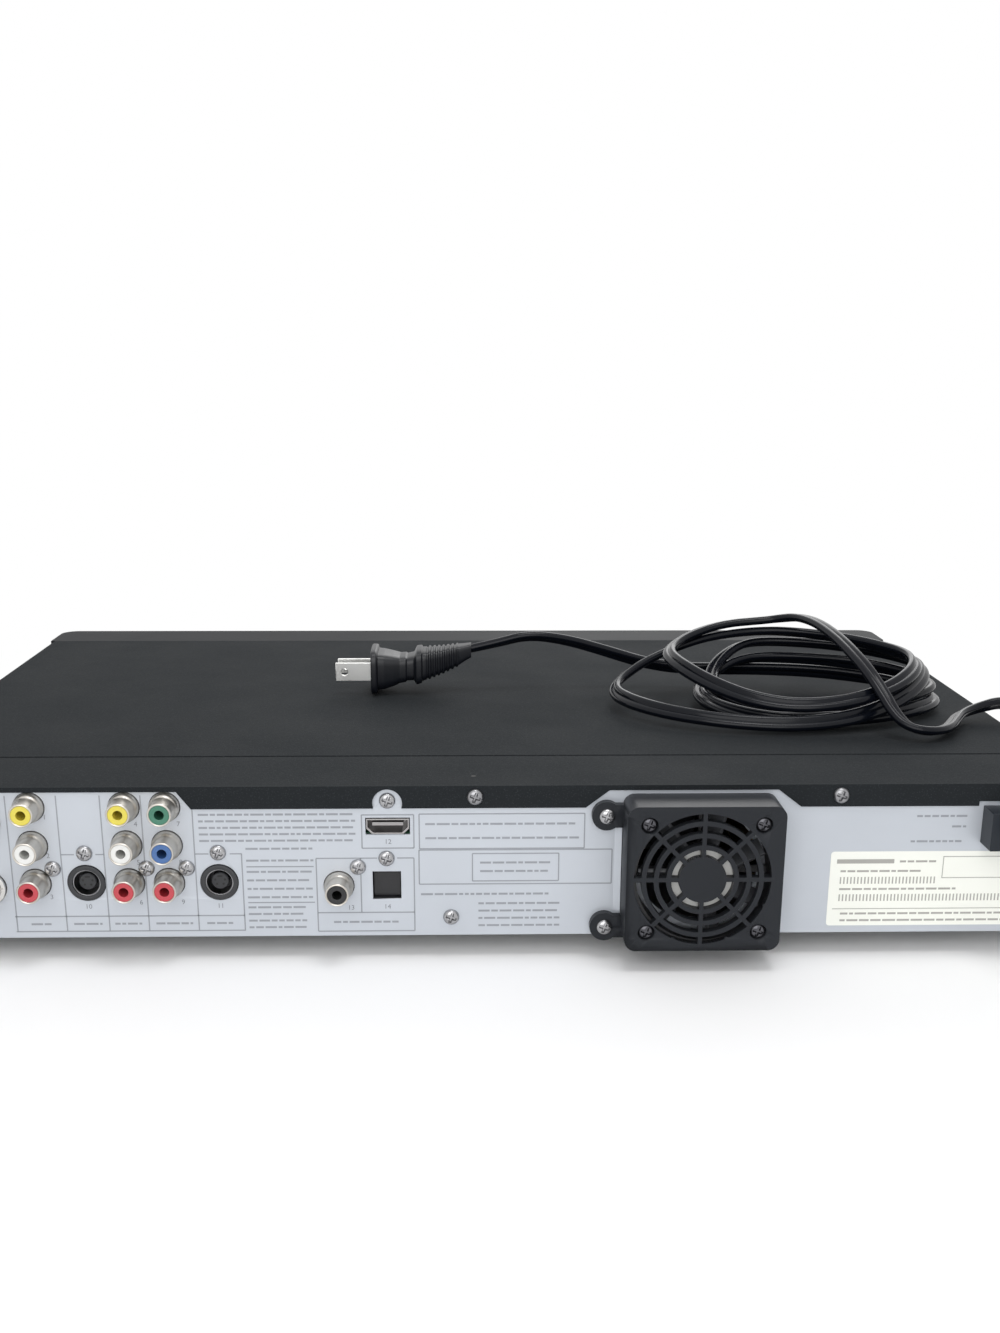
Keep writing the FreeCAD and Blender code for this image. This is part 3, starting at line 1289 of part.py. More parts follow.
def front_board():
    main = box((s.front_board_left, front_board_right), (front_board_y, front_board_y + s.board_thick),
               (base + s.bezel_wall + s.sheet_gap, top - s.bezel_wall - s.sheet_gap))
    reach = s.boss_radius * 4.4
    small = box((power_x - reach, power_x + reach),
                (front_board_y, front_board_y + s.board_thick), (power_z - reach, power_z + reach))
    return node("front_board", group(main, small, *tact_switches()))


button_spots = [(small_x, small_button_z(i)) for i in range(3)] + [
    (s.eject_across, eject_z), (power_x, power_z)]
switch_face = front_board_y - s.switch_thick


def tact_switches():
    """A push switch behind each button."""
    half = s.switch_body / 2
    made = []
    for x, z in button_spots:
        body = box((x - half, x + half), (switch_face, front_board_y), (z - half, z + half))
        stem = rod("y", (x, switch_face - s.button_travel * 0.5, z), half * 0.5, s.button_travel * 0.5)
        made.append(join(body, stem))
    return made


def buttons():
    """Each cap has a flange behind the bezel wall and a stem to its switch."""
    tip = front - s.button_proud
    flange_y = front_inside + s.button_back_gap
    stem_end = switch_face - s.button_travel * 1.5
    half, high = small_half, s.small_button_height / 2
    lip = s.button_flange
    for i, label in enumerate(small_buttons + ["eject_button"]):
        x, z = button_spots[i]
        wide = half if label != "eject_button" else s.eject_half
        body = new_body(label)
        cap = new_sketch(body, "XZ", flange_y)
        draw_rounded(cap, (x - wide, x + wide), (z - high, z + high), s.button_corner)
        pad(body, cap, flange_y - tip)
        rim = new_sketch(body, "XZ", flange_y + s.button_flange_thick)
        draw_rounded(rim, (x - wide - lip, x + wide + lip), (z - high - lip, z + high + lip),
                     s.button_corner)
        pad(body, rim, s.button_flange_thick)
        stem = new_sketch(body, "XZ", stem_end)
        draw_circle(stem, x, z, s.stem_radius)
        pad(body, stem, stem_end - flange_y)
        node(label, body)
    x, z = button_spots[4]
    made = join(rod("y", (x, tip, z), s.power_radius, flange_y - tip),
                rod("y", (x, flange_y, z), s.power_radius + lip, s.button_flange_thick),
                rod("y", (x, flange_y, z), s.stem_radius, stem_end - flange_y))
    node("power_button", made)


def display_module():
    half, high = window_wide / 2 - s.window_lip, s.window_height / 2 - s.window_lip / 2
    return node("display_module", box((window_x - half, window_x + half),
                                      (front_board_y - s.display_depth, front_board_y),
                                      (window_z - high, window_z + high)))


# Boards and what stands on them

def main_board():
    body = new_body("main_board")
    plan = new_sketch(body, "XY", board_bottom)
    draw_outline(plan, [
        (main_left, main_front), (main_right, main_front), (main_right, board_rear),
        (wing_left, board_rear), (wing_left, wing_front), (main_left, wing_front)])
    pad(body, plan, s.board_thick)
    return node("main_board", body)


digital_left = s.hdmi_across - s.digital_board_left
digital_right = digital_left + s.digital_board_width
digital_bottom = hdmi_z - s.hdmi_height / 2 - s.board_thick
digital_top_z = digital_bottom + s.board_thick
digital_front = board_rear - s.digital_board_depth
sink_x = (digital_left + digital_right) / 2
sink_y = digital_front + s.digital_board_depth * 0.45


def digital_board():
    made = [box((digital_left, digital_right), (digital_front, board_rear),
                (digital_bottom, digital_top_z))]
    edge = s.post_inset / 2
    for x in (digital_left + edge, digital_right - edge):
        for y in (digital_front + edge + s.spacer_back, board_rear - edge - s.spacer_back):
            made.append(rod("z", (x, y, board_top), s.standoff_radius, digital_bottom - board_top))
    return node("digital_board", group(*made))


def heat_sink():
    half = s.sink_size / 2
    low = digital_top_z + s.chip_thick
    made = [box((sink_x - half, sink_x + half), (sink_y - half, sink_y + half),
                (low, low + s.sink_base))]
    count = SIZES["sink_fin_count"]
    for i in range(count):
        x = sink_x - half + (s.sink_size - s.sink_fin_thick) * (i / (count - 1))
        made.append(box((x, x + s.sink_fin_thick), (sink_y - half, sink_y + half),
                        (low, low + s.sink_height)))
    return node("heat_sink", join(*made))


# Each chip on the main board: its place from the board's left and from its front, and its size
CHIPS = [(40, 30, 14), (90, 40, 20), (100, 90, 12)]


def board_chips():
    half = s.sink_size * 0.42
    made = [box((sink_x - half, sink_x + half), (sink_y - half, sink_y + half),
                (digital_top_z, digital_top_z + s.chip_thick))]
    for from_left, from_front, size in CHIPS:
        x, y = main_left + from_left, main_front + from_front
        made.append(box((x - size / 2, x + size / 2), (y - size / 2, y + size / 2),
                        (board_top, board_top + s.chip_thick)))
    return node("board_chips", group(*made))


def power_board():
    return node("power_board", box((power_left, s.power_board_right),
                                   (s.power_board_front, s.power_board_rear),
                                   (board_bottom, board_top)))


power_middle = (power_left + s.power_board_right) / 2


def transformer():
    x, y = power_middle + s.core_width / 2, (s.power_board_front + s.power_board_rear) / 2
    core = box((x - s.core_width / 2, x + s.core_width / 2),
               (y - s.core_depth / 2, y + s.core_depth / 2),
               (board_top, board_top + s.core_height))
    over = s.winding_over
    winding = box((x - s.core_width / 3, x + s.core_width / 3),
                  (y - s.core_depth / 2 - over, y + s.core_depth / 2 + over),
                  (board_top, board_top + s.core_height - over))
    return node("transformer", join(core, winding))


def capacitors():
    made = [rod("z", (power_middle - s.bulk_can_radius * 2, s.power_board_rear - s.bulk_can_radius * 3,
                      board_top), s.bulk_can_radius, s.bulk_can_height)]
    for i in range(4):
        x = power_left + s.small_can_radius * (3 + 3 * i)
        made.append(rod("z", (x, s.power_board_front + s.small_can_radius * 4, board_top),
                        s.small_can_radius, s.small_can_height))
    return node("capacitors", group(*made))


# Disc drive

tray_front = front + s.fascia_thick
spindle_y = front + s.spindle_from_front
wall_top = tray_top + s.wall_over_tray
drive_floor_top = drive_bottom + s.drive_floor
rod_z = drive_floor_top + s.motor_can_radius
sled_front = spindle_y + s.sled_from_spindle
sled_rear_end = sled_front + s.sled_length + s.sled_travel
rail_low = tray_bottom
rail_top = tray_bottom + s.tray_rail_thick
post_front = (sled_front - s.rod_block - s.tray_slide_gap, sled_front - s.tray_slide_gap)
post_rear = (sled_rear_end + s.tray_slide_gap, sled_rear_end + s.tray_slide_gap + s.rod_block)
screw_x = drive_x - s.screw_across
rod_spots = [drive_x - s.rod_spread, drive_x + s.rod_spread]
gear_x = drive_x + s.gear_across
gear_y = front + s.bezel_depth + s.gear_from_front
tray_rear = gear_y + s.tray_travel + s.rack_after
gear_low = tray_bottom - s.gear_face_gap - s.gear_thick


def drive_frame():
    length = (drive_front, drive_rear)
    floor = box((drive_x - drive_half, drive_x + drive_half), length, (drive_bottom, drive_floor_top))
    walls, grooves = [], []
    gap = s.tray_slide_gap
    tray_side = s.tray_width / 2 + gap
    for side in (-1, 1):
        inner = drive_x + side * (tray_side - s.tray_rail)
        outer = drive_x + side * drive_half
        near = drive_x + side * tray_side
        walls.append(box((inner, outer) if side > 0 else (outer, inner), length,
                         (drive_bottom, wall_top)))
        grooves.append(box((inner, near) if side > 0 else (near, inner), length,
                           (rail_low - gap / 2, rail_top + gap)))
    back = box((drive_x - drive_half, drive_x + drive_half), (drive_rear - s.drive_floor, drive_rear),
               (drive_bottom, wall_top))
    sill = box((drive_x - drive_half, drive_x + drive_half), (drive_front, drive_front + s.drive_floor),
               (drive_bottom, rod_z))
    blocks = []
    reach = s.rod_radius * 2
    for y in (post_front, post_rear):
        for x in rod_spots + [screw_x]:
            blocks.append(box((x - reach, x + reach), y, (drive_bottom, rod_z + reach)))
    bores = [rod("y", (screw_x, post_front[0], rod_z), s.screw_radius + s.shaft_gap,
                 post_rear[1] - post_front[0])]
    for x in rod_spots:
        bores.append(rod("y", (x, post_front[0], rod_z), s.rod_radius, post_rear[1] - post_front[0]))
    return node("drive_frame", cut(join(floor, back, sill, *walls, *blocks), *grooves, *bores))


def disc_tray():
    body = new_body("disc_tray")
    rail = new_sketch(body, "XY", tray_bottom)
    half = s.tray_width / 2
    draw_rectangle(rail, (drive_x - half, drive_x + half), (tray_front, tray_rear))
    pad(body, rail, s.tray_rail_thick)
    rim = new_sketch(body, "XY", tray_bottom)
    inner = half - s.tray_rail - s.tray_slide_gap
    draw_rectangle(rim, (drive_x - inner, drive_x + inner), (tray_front, tray_rear))
    pad(body, rim, tray_top - tray_bottom)
    recess = new_sketch(body, "XY", tray_top)
    draw_circle(recess, drive_x, spindle_y, s.disc_radius + s.recess_over_disc)
    pocket(body, recess, tray_top - tray_floor)
    slot = new_sketch(body, "XY", tray_top)
    draw_circle(slot, drive_x, spindle_y, s.tray_slot_half)
    pocket(body, slot, tray_top - tray_bottom)
    way = new_sketch(body, "XY", tray_top)
    draw_rectangle(way, (drive_x - s.tray_slot_half, drive_x + s.tray_slot_half),
                   (spindle_y, tray_rear + s.tray_plate))
    pocket(body, way, tray_top - tray_bottom)
    return node("disc_tray", join(body, rack()))


def rack():
    """The toothed bar under the tray, its teeth towards the loading gear."""
    pitch = math.pi * SIZES["gear_module"]
    body = new_body("rack")
    root = gear_x + s.gear_module * s.gear_teeth / 2 + s.gear_module * 1.25
    bar = new_sketch(body, "XY", tray_bottom - s.rack_height)
    start = gear_y - s.rack_before
    draw_rectangle(bar, (root, root + s.rack_width), (start, tray_rear))
    pad(body, bar, s.rack_height)
    tooth = new_sketch(body, "XY", tray_bottom - s.rack_height)
    crest, foot = s.gear_module * RACK_CREST, s.gear_module * RACK_FOOT
    tip = root - s.gear_module * 2.25
    first = gear_y - s.gear_module * (math.pi * 2) + s.gear_module * (math.pi / 2)
    draw_outline(tooth, [(root, first - foot), (tip, first - crest), (tip, first + crest),
                         (root, first + foot)])
    made = pad(body, tooth, s.rack_height)
    count = int((tray_rear - start).number / pitch)
    pattern = body.newObject("PartDesign::LinearPattern", fresh("pattern"))
    pattern.Originals = [made]
    pattern.Direction = (tooth, ["V_Axis"])
    pattern.Mode = "Spacing"
    bind(pattern, "Offset", s.gear_module * math.pi)
    pattern.Occurrences = count
    body.Tip = pattern
    return body


# Half widths of a 20 degree rack tooth at its crest and its root, in modules, with room to run
RACK_CREST = math.pi / 4 - math.tan(math.radians(20)) - SIZES["gear_backlash"] / 2
RACK_FOOT = math.pi / 4 + math.tan(math.radians(20)) * 1.25 - SIZES["gear_backlash"] / 2


def loading_gear():
    """A spur gear: straight-sided teeth as wide as the involute at tip, pitch circle and root."""
    body = new_body("loading_gear")
    module, teeth = s.gear_module, s.gear_teeth
    pitch_radius = module * teeth / 2
    root, tip = pitch_radius - module * 1.25, pitch_radius + module
    blank = new_sketch(body, "XY", gear_low)
    draw_circle(blank, 0, 0, root + module * 0.02)
    pad(body, blank, s.gear_thick)
    tooth = new_sketch(body, "XY", gear_low)
    at_tip, at_pitch, at_root = (module * w for w in GEAR_HALVES)
    draw_outline(tooth, [(root - module * 0.3, -at_root), (root, -at_root), (pitch_radius, -at_pitch),
                         (tip, -at_tip), (tip, at_tip), (pitch_radius, at_pitch), (root, at_root),
                         (root - module * 0.3, at_root)])
    made = pad(body, tooth, s.gear_thick)
    ring = body.newObject("PartDesign::PolarPattern", fresh("ring"))
    ring.Originals = [made]
    ring.Axis = (blank, ["N_Axis"])
    ring.Angle = 360
    bind(ring, "Occurrences", teeth)
    body.Tip = ring
    bore = new_sketch(body, "XY", gear_low)
    draw_circle(bore, 0, 0, s.motor_shaft_radius + s.shaft_gap)
    pocket(body, bore)
    put(body, gear_x, gear_y, 0)
    return node("loading_gear", body)


# Half widths of a gear tooth at its tip, pitch circle and root, in modules
GEAR_HALVES = (0.36, math.pi / 4 - SIZES["gear_backlash"] / 2, 1.02)


def drive_motors():
    """Spindle, loading and sled motors: each a can with its shaft."""
    spindle = join(rod("z", (drive_x, spindle_y, drive_floor_top), s.spindle_can_radius,
                       s.spindle_can_height),
                   rod("z", (drive_x, spindle_y, drive_floor_top), s.spindle_shaft_radius,
                       disc_seat - s.turntable_thick * 1.2 - drive_floor_top + s.turntable_thick))
    loading = join(rod("z", (gear_x, gear_y, drive_floor_top), s.motor_can_radius,
                       gear_low - s.gear_face_gap - drive_floor_top),
                   rod("z", (gear_x, gear_y, drive_floor_top), s.motor_shaft_radius,
                       gear_low + s.gear_thick - drive_floor_top))
    can_y = post_rear[1] + s.screw_sleeve + s.gear_face_gap
    sled = join(rod("y", (screw_x, can_y, rod_z), s.motor_can_radius, s.motor_can_length),
                rod("y", (screw_x, post_rear[1] + s.gear_face_gap, rod_z), s.motor_shaft_radius,
                    s.screw_sleeve))
    return node("drive_motors", group(spindle, loading, sled))


def turntable():
    low = drive_floor_top + s.spindle_can_height + s.gear_face_gap
    bore = s.spindle_shaft_radius + s.shaft_gap
    under = disc_seat - s.turntable_thick
    body = turned("turntable", "XZ", "V_Axis", [
        (bore, low), (s.turntable_boss, low), (s.turntable_boss, under),
        (s.turntable_radius, under), (s.turntable_radius, disc_seat),
        (s.hub_radius, disc_seat), (s.hub_radius - s.hub_rise / 2, disc_seat + s.hub_rise),
        (bore, disc_seat + s.hub_rise)])
    put(body, drive_x, spindle_y, 0)
    return node("turntable", body)


bridge_low = wall_top
clamp_low = disc_seat + s.hub_rise + s.gear_face_gap


def clamp_bridge():
    half = s.bridge_width / 2
    plate = box((drive_x - drive_half, drive_x + drive_half), (spindle_y - half, spindle_y + half),
                (bridge_low, bridge_low + s.bridge_thick))
    hole = rod("z", (drive_x, spindle_y, bridge_low), s.clamp_neck_radius + s.clamp_hole_gap,
               s.bridge_thick)
    return node("clamp_bridge", cut(plate, hole))


def clamper():
    """A spool that hangs in the bridge: its lower disc presses on the hub."""
    over = bridge_low + s.bridge_thick + s.gear_face_gap
    body = turned("clamper", "XZ", "V_Axis", [
        (0, clamp_low), (s.clamp_radius, clamp_low), (s.clamp_radius, clamp_low + s.clamp_thick),
        (s.clamp_neck_radius, clamp_low + s.clamp_thick), (s.clamp_neck_radius, over),
        (s.clamp_radius, over), (s.clamp_radius, over + s.clamp_thick / 2),
        (0, over + s.clamp_thick / 2)])
    put(body, drive_x, spindle_y, 0)
    return node("clamper", body)


def pickup_sled():
    half = s.rod_spread + s.sled_half / 5
    low = rod_z - s.rod_radius * 2
    high = rod_z + s.rod_radius * 2 + s.gear_face_gap
    lens_y = spindle_y + s.lens_from_spindle
    body = box((drive_x - half, drive_x + half), (sled_front, sled_front + s.sled_length), (low, high))
    arm = box((screw_x - s.rod_radius * 2, drive_x - half + s.rod_radius),
              (sled_front + s.sled_length * 0.3, sled_front + s.sled_length * 0.6), (low, high))
    turret = box((drive_x - s.lens_radius * 2, drive_x + s.lens_radius * 2),
                 (lens_y - s.lens_radius * 1.6, lens_y + s.lens_radius * 1.6),
                 (high, tray_bottom - s.tray_slide_gap))
    lens = rod("z", (drive_x, lens_y, high), s.lens_radius, tray_floor - s.tray_slide_gap - high)
    bores = [rod("y", (x, sled_front, rod_z), s.rod_radius + s.shaft_gap, s.sled_length)
             for x in rod_spots]
    bores.append(rod("y", (screw_x, sled_front, rod_z), s.screw_radius + s.shaft_gap, s.sled_length))
    return node("pickup_sled", cut(join(body, arm, turret, lens), *bores))


def sled_rods():
    length = post_rear[1] - post_front[0]
    made = [rod("y", (x, post_front[0], rod_z), s.rod_radius, length) for x in rod_spots]
    node("guide_rods", group(*made))
    thread = rod("y", (screw_x, post_front[0], rod_z), s.screw_radius, length)
    sleeve = rod("y", (screw_x, post_rear[1] + s.gear_face_gap, rod_z),
                 s.rod_radius * 1.5, s.screw_sleeve - s.gear_face_gap)
    stub = rod("y", (screw_x, post_rear[1], rod_z), s.screw_radius, s.gear_face_gap * 2)
    bore = rod("y", (screw_x, post_rear[1] + s.gear_face_gap, rod_z),
               s.motor_shaft_radius + s.shaft_gap, s.screw_sleeve)
    node("lead_screw", cut(join(thread, stub, sleeve), bore))


def tray_fascia():
    body = new_body("tray_fascia")
    face = new_sketch(body, "XZ", tray_front)
    half = s.fascia_width / 2
    draw_rounded(face, (drive_x - half, drive_x + half), (fascia_low, fascia_top), s.button_corner)
    pad(body, face, s.fascia_thick)
    return node("tray_fascia", body)


def build_all():
    for make in (chassis_base, rear_panel, top_cover, feet, cover_screws, panel_screws,
                 rca_blocks, rca_jacks, svideo_jacks, hdmi_socket, digital_audio, antenna_jacks,
                 fan_housing, fan_frame, fan_rotor, fan_screws, cord_bushing,
                 mains_cord, power_plug,
                 front_bezel, display_window, front_flap, front_sockets, front_board,
                 buttons, display_module,
                 main_board, digital_board, heat_sink, board_chips, power_board, transformer,
                 capacitors, drive_frame, disc_tray, loading_gear, drive_motors, turntable,
                 clamp_bridge, clamper, pickup_sled, sled_rods, tray_fascia):
        make()


def faults():
    """What failed to rebuild, or isn't a sound solid."""
    found = [f"{thing.Label}: {thing.State}" for thing in doc.Objects
             if {"Invalid", "Error"} & set(thing.State)]
    for thing in nodes:
        shape = thing.Shape
        if shape.isNull() or not shape.isValid() or not shape.Solids:
            found.append(f"{thing.Label}: no sound solid")
    return found


build_all()
doc.recompute()
problems = faults()
if problems:
    raise RuntimeError("\n".join(problems))
os.makedirs("parts", exist_ok=True)
for thing in nodes:
    thing.Shape.exportStep(f"parts/{thing.Label}.step")
print(len(nodes), "sub-parts")
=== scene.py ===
"""Looks of the dvd recorder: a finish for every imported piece, and the soft, round and printed surfaces."""

import json
import math

import bmesh
import bpy
import numpy as np
from bpy.props import FloatProperty, FloatVectorProperty, PointerProperty
from mathutils import Matrix, Vector

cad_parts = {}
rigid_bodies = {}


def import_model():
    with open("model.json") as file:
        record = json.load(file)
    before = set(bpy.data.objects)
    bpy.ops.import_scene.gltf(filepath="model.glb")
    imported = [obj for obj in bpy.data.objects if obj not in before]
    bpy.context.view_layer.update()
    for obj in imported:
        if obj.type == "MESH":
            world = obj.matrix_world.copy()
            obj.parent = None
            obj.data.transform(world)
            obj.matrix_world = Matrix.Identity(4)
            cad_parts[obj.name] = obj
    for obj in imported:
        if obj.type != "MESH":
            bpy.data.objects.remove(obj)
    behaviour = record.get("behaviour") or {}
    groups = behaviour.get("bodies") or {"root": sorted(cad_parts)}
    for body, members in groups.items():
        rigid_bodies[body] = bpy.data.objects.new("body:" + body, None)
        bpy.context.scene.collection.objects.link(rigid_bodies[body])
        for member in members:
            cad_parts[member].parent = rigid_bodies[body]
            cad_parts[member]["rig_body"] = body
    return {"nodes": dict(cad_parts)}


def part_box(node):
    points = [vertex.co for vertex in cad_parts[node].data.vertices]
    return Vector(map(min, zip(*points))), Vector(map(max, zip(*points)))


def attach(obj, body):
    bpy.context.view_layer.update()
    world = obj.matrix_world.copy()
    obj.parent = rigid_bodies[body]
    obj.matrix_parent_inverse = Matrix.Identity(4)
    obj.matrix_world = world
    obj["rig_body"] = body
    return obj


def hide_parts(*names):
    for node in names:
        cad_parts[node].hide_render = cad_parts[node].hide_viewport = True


bl_info = {
    "name": "DVD Recorder Looks",
    "version": (1, 0, 0),
    "blender": (4, 5, 0),
    "location": "3D View > Sidebar > Recorder",
    "description": "Finishes, printed panel, sockets, fan, mains cord and stage of a dvd recorder",
    "category": "Object",
}

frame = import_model()
NODES = frame["nodes"]
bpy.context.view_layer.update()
MM = 0.001
PANEL_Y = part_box("rear_panel")[1].y
COVER_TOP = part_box("top_cover")[1].z
PANEL_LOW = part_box("top_cover")[0].z
# The angle in degrees from which an edge is shaded sharp.
SHARP = 35


# Geometry

def placed(mesh, finish, body, replaces):
    """The object of a finished mesh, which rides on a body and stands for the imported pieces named."""
    made = bpy.data.objects.new(mesh.name, mesh)
    bpy.context.scene.collection.objects.link(made)
    mesh.materials.append(finish)
    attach(made, body)
    if replaces:
        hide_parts(*replaces)
    return made


def smoothed(mesh, sharp):
    """Shades a mesh smooth, except over edges that turn by more than so many degrees."""
    mesh.shade_smooth()
    mesh.set_sharp_from_angle(angle=math.radians(sharp))


def shaped(name, patches, finish, body="recorder", replaces=(), sharp=SHARP):
    """One piece from patches, each its points and its faces, that rides on a body."""
    points = np.concatenate([np.asarray(p[0], float).reshape(-1, 3) for p in patches])
    faces, start = [], 0
    for patch_points, patch_faces in patches:
        faces += [[start + i for i in face] for face in patch_faces]
        start += len(np.asarray(patch_points).reshape(-1, 3))
    mesh = bpy.data.meshes.new(name)
    mesh.from_pydata(points.tolist(), [], faces)
    mesh.validate()
    smoothed(mesh, sharp)
    return placed(mesh, finish, body, replaces)


def grid_faces(rows, columns):
    """The cells of a grid of rows by columns as faces; the last column meets the first."""
    row, column = np.meshgrid(np.arange(rows - 1), np.arange(columns), indexing="ij")
    a = row * columns + column
    b = row * columns + (column + 1) % columns
    return np.stack([a, b, b + columns, a + columns], -1).reshape(-1, 4).tolist()


def tube_faces(rows, sides, flipped=False):
    """The faces of rings joined in their order, with a flat face over each end; flipped turns them over."""
    last = (rows - 1) * sides
    faces = grid_faces(rows, sides) + [list(range(sides))[::-1], [last + i for i in range(sides)]]
    return [face[::-1] for face in faces] if flipped else faces


def turned(profile, centre, axis, sides, closed=False):
    """A lathe shape in millimetres: each profile point (radius, along) goes round the axis through the
    centre, radius times cosine and sine across it. A closed profile makes a ring, and another one is
    closed with a flat face at each end."""
    profile = np.asarray(profile, float)
    angle = np.linspace(0, 2 * math.pi, sides, endpoint=False)
    radius, along = profile[:, :1], np.repeat(profile[:, 1:], sides, 1)
    across, up = radius * np.cos(angle), radius * np.sin(angle)
    order = {"y": (up, along, across), "z": (across, up, along)}[axis]
    points = (np.stack(order, -1).reshape(-1, 3) + np.asarray(centre, float)) * MM
    if closed:
        return points, (np.asarray(grid_faces(len(profile) + 1, sides)) % len(points)).tolist()
    return points, tube_faces(len(profile), sides)


def slab(low, high):
    """A plain block between two corners, used for print and small trim."""
    low, high = np.asarray(low, float), np.asarray(high, float)
    corner = np.array([[x, y, z] for x in (0, 1) for y in (0, 1) for z in (0, 1)])
    faces = [[0, 1, 3, 2], [4, 6, 7, 5], [0, 4, 5, 1], [2, 3, 7, 6], [0, 2, 6, 4], [1, 5, 7, 3]]
    return low + corner * (high - low), faces


def carried(path, wide, normal, profile):
    """A closed profile carried along a path: each section's point is the path's point plus the profile's
    first number along wide and its second along normal."""
    points = path[:, None] + profile[:, :1] * wide[:, None] + profile[:, 1:] * normal[:, None]
    return points.reshape(-1, 3), tube_faces(len(path), len(profile), flipped=True)


def weld(source, target, nearest):
    """Puts one mesh into another with the points merged that lie nearer than a distance."""
    shape = bmesh.new()
    shape.from_mesh(source)
    bmesh.ops.remove_doubles(shape, verts=shape.verts, dist=nearest)
    shape.to_mesh(target)
    shape.free()


def mesh_of(curve):
    """The mesh that Blender makes of a curve or a text."""
    holder = bpy.data.objects.new(curve.name, curve)
    bpy.context.scene.collection.objects.link(holder)
    mesh = bpy.data.meshes.new_from_object(holder)
    bpy.data.objects.remove(holder)
    return mesh


def points_of(mesh):
    """A mesh's points as rows."""
    flat = np.zeros(len(mesh.vertices) * 3)
    mesh.vertices.foreach_get("co", flat)
    return flat.reshape(-1, 3)


def dressed(node, finish, bevel):
    """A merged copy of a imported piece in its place, with smooth round faces and edges softened by the
    bevel's width in millimetres."""
    mesh = bpy.data.meshes.new(node + "_skin")
    weld(NODES[node].data, mesh, 2e-6)
    smoothed(mesh, SHARP)
    made = placed(mesh, finish, NODES[node]["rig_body"], (node,))
    if bevel:
        edge = made.modifiers.new("Soft edges", "BEVEL")
        edge.width = bevel * MM
        edge.segments = 2
        edge.limit_method = "ANGLE"
        edge.angle_limit = math.radians(SHARP)
        edge.use_clamp_overlap = True
    flat = made.modifiers.new("Flat faces", "WEIGHTED_NORMAL")
    flat.keep_sharp = True
    return made


def dress_all(rows):
    """Dresses each row's piece with its finish and its bevel."""
    for node, finish, bevel in rows:
        dressed(node, finish, bevel)


# Shader groups and finishes

def fed(tree, made, inputs):
    """Gives a node's sockets numbers, colours or other nodes' outputs."""
    for key, value in inputs.items():
        if isinstance(value, bpy.types.NodeSocket):
            tree.links.new(value, made.inputs[key])
        else:
            made.inputs[key].default_value = value
    return made


def linked(tree, kind, inputs=None, **settings):
    """A shader node with its settings and inputs."""
    made = tree.nodes.new("ShaderNode" + kind)
    for key, value in settings.items():
        setattr(made, key, value)
    return fed(tree, made, inputs or {})


def worked(tree, operation, first, second, clamp=False):
    """The outcome of a Math node."""
    return linked(tree, "Math", {0: first, 1: second}, operation=operation, use_clamp=clamp).outputs[0]


def multiplied(tree, first, second):
    """The outcome of a Vector Math node that multiplies."""
    return linked(tree, "VectorMath", {0: first, 1: second}, operation="MULTIPLY").outputs[0]


def ranged(tree, value, start, end, low=0.0, high=1.0, **settings):
    """A value's place between start and end, as a number from low to high."""
    inputs = {"Value": value, "From Min": start, "From Max": end, "To Min": low, "To Max": high}
    return linked(tree, "MapRange", inputs, **settings).outputs[0]


def object_place(tree):
    """The place on the piece, in Object coordinates."""
    return linked(tree, "TexCoord").outputs["Object"]


def new_group(name, inputs, outputs):
    """An empty shader group with named sockets: inputs maps each name to its type and default."""
    tree = bpy.data.node_groups.new(name, "ShaderNodeTree")
    for key, (kind, default) in inputs.items():
        tree.interface.new_socket(key, in_out="INPUT", socket_type=kind).default_value = default
    for key, kind in outputs.items():
        tree.interface.new_socket(key, in_out="OUTPUT", socket_type=kind)
    return tree, tree.nodes.new("NodeGroupInput"), tree.nodes.new("NodeGroupOutput")


NUMBER, COLOUR, DIRECTION = "NodeSocketFloat", "NodeSocketColor", "NodeSocketVector"
DUST = (0.42, 0.41, 0.39, 1)
COAT_ROUGHNESS = 0.12


def grain_group():
    """Grain: fine noise on Object coordinates, as a mask and as a bump. Stretch draws it out by axis."""
    inputs = {"Size": (NUMBER, 0.001), "Height": (NUMBER, 0.2), "Stretch": (DIRECTION, (1, 1, 1))}
    tree, given, out = new_group("Grain", inputs, {"Mask": NUMBER, "Normal": DIRECTION})
    fine = worked(tree, "DIVIDE", 1.0, given.outputs["Size"])
    drawn = multiplied(tree, object_place(tree), given.outputs["Stretch"])
    noise = linked(tree, "TexNoise", {"Vector": drawn, "Scale": fine, "Detail": 3.0, "Roughness": 0.6})
    bump = linked(tree, "Bump", {"Height": noise.outputs["Fac"], "Strength": given.outputs["Height"],
                                 "Distance": 0.0002})
    fed(tree, out, {"Mask": noise.outputs["Fac"], "Normal": bump.outputs["Normal"]})
    return tree


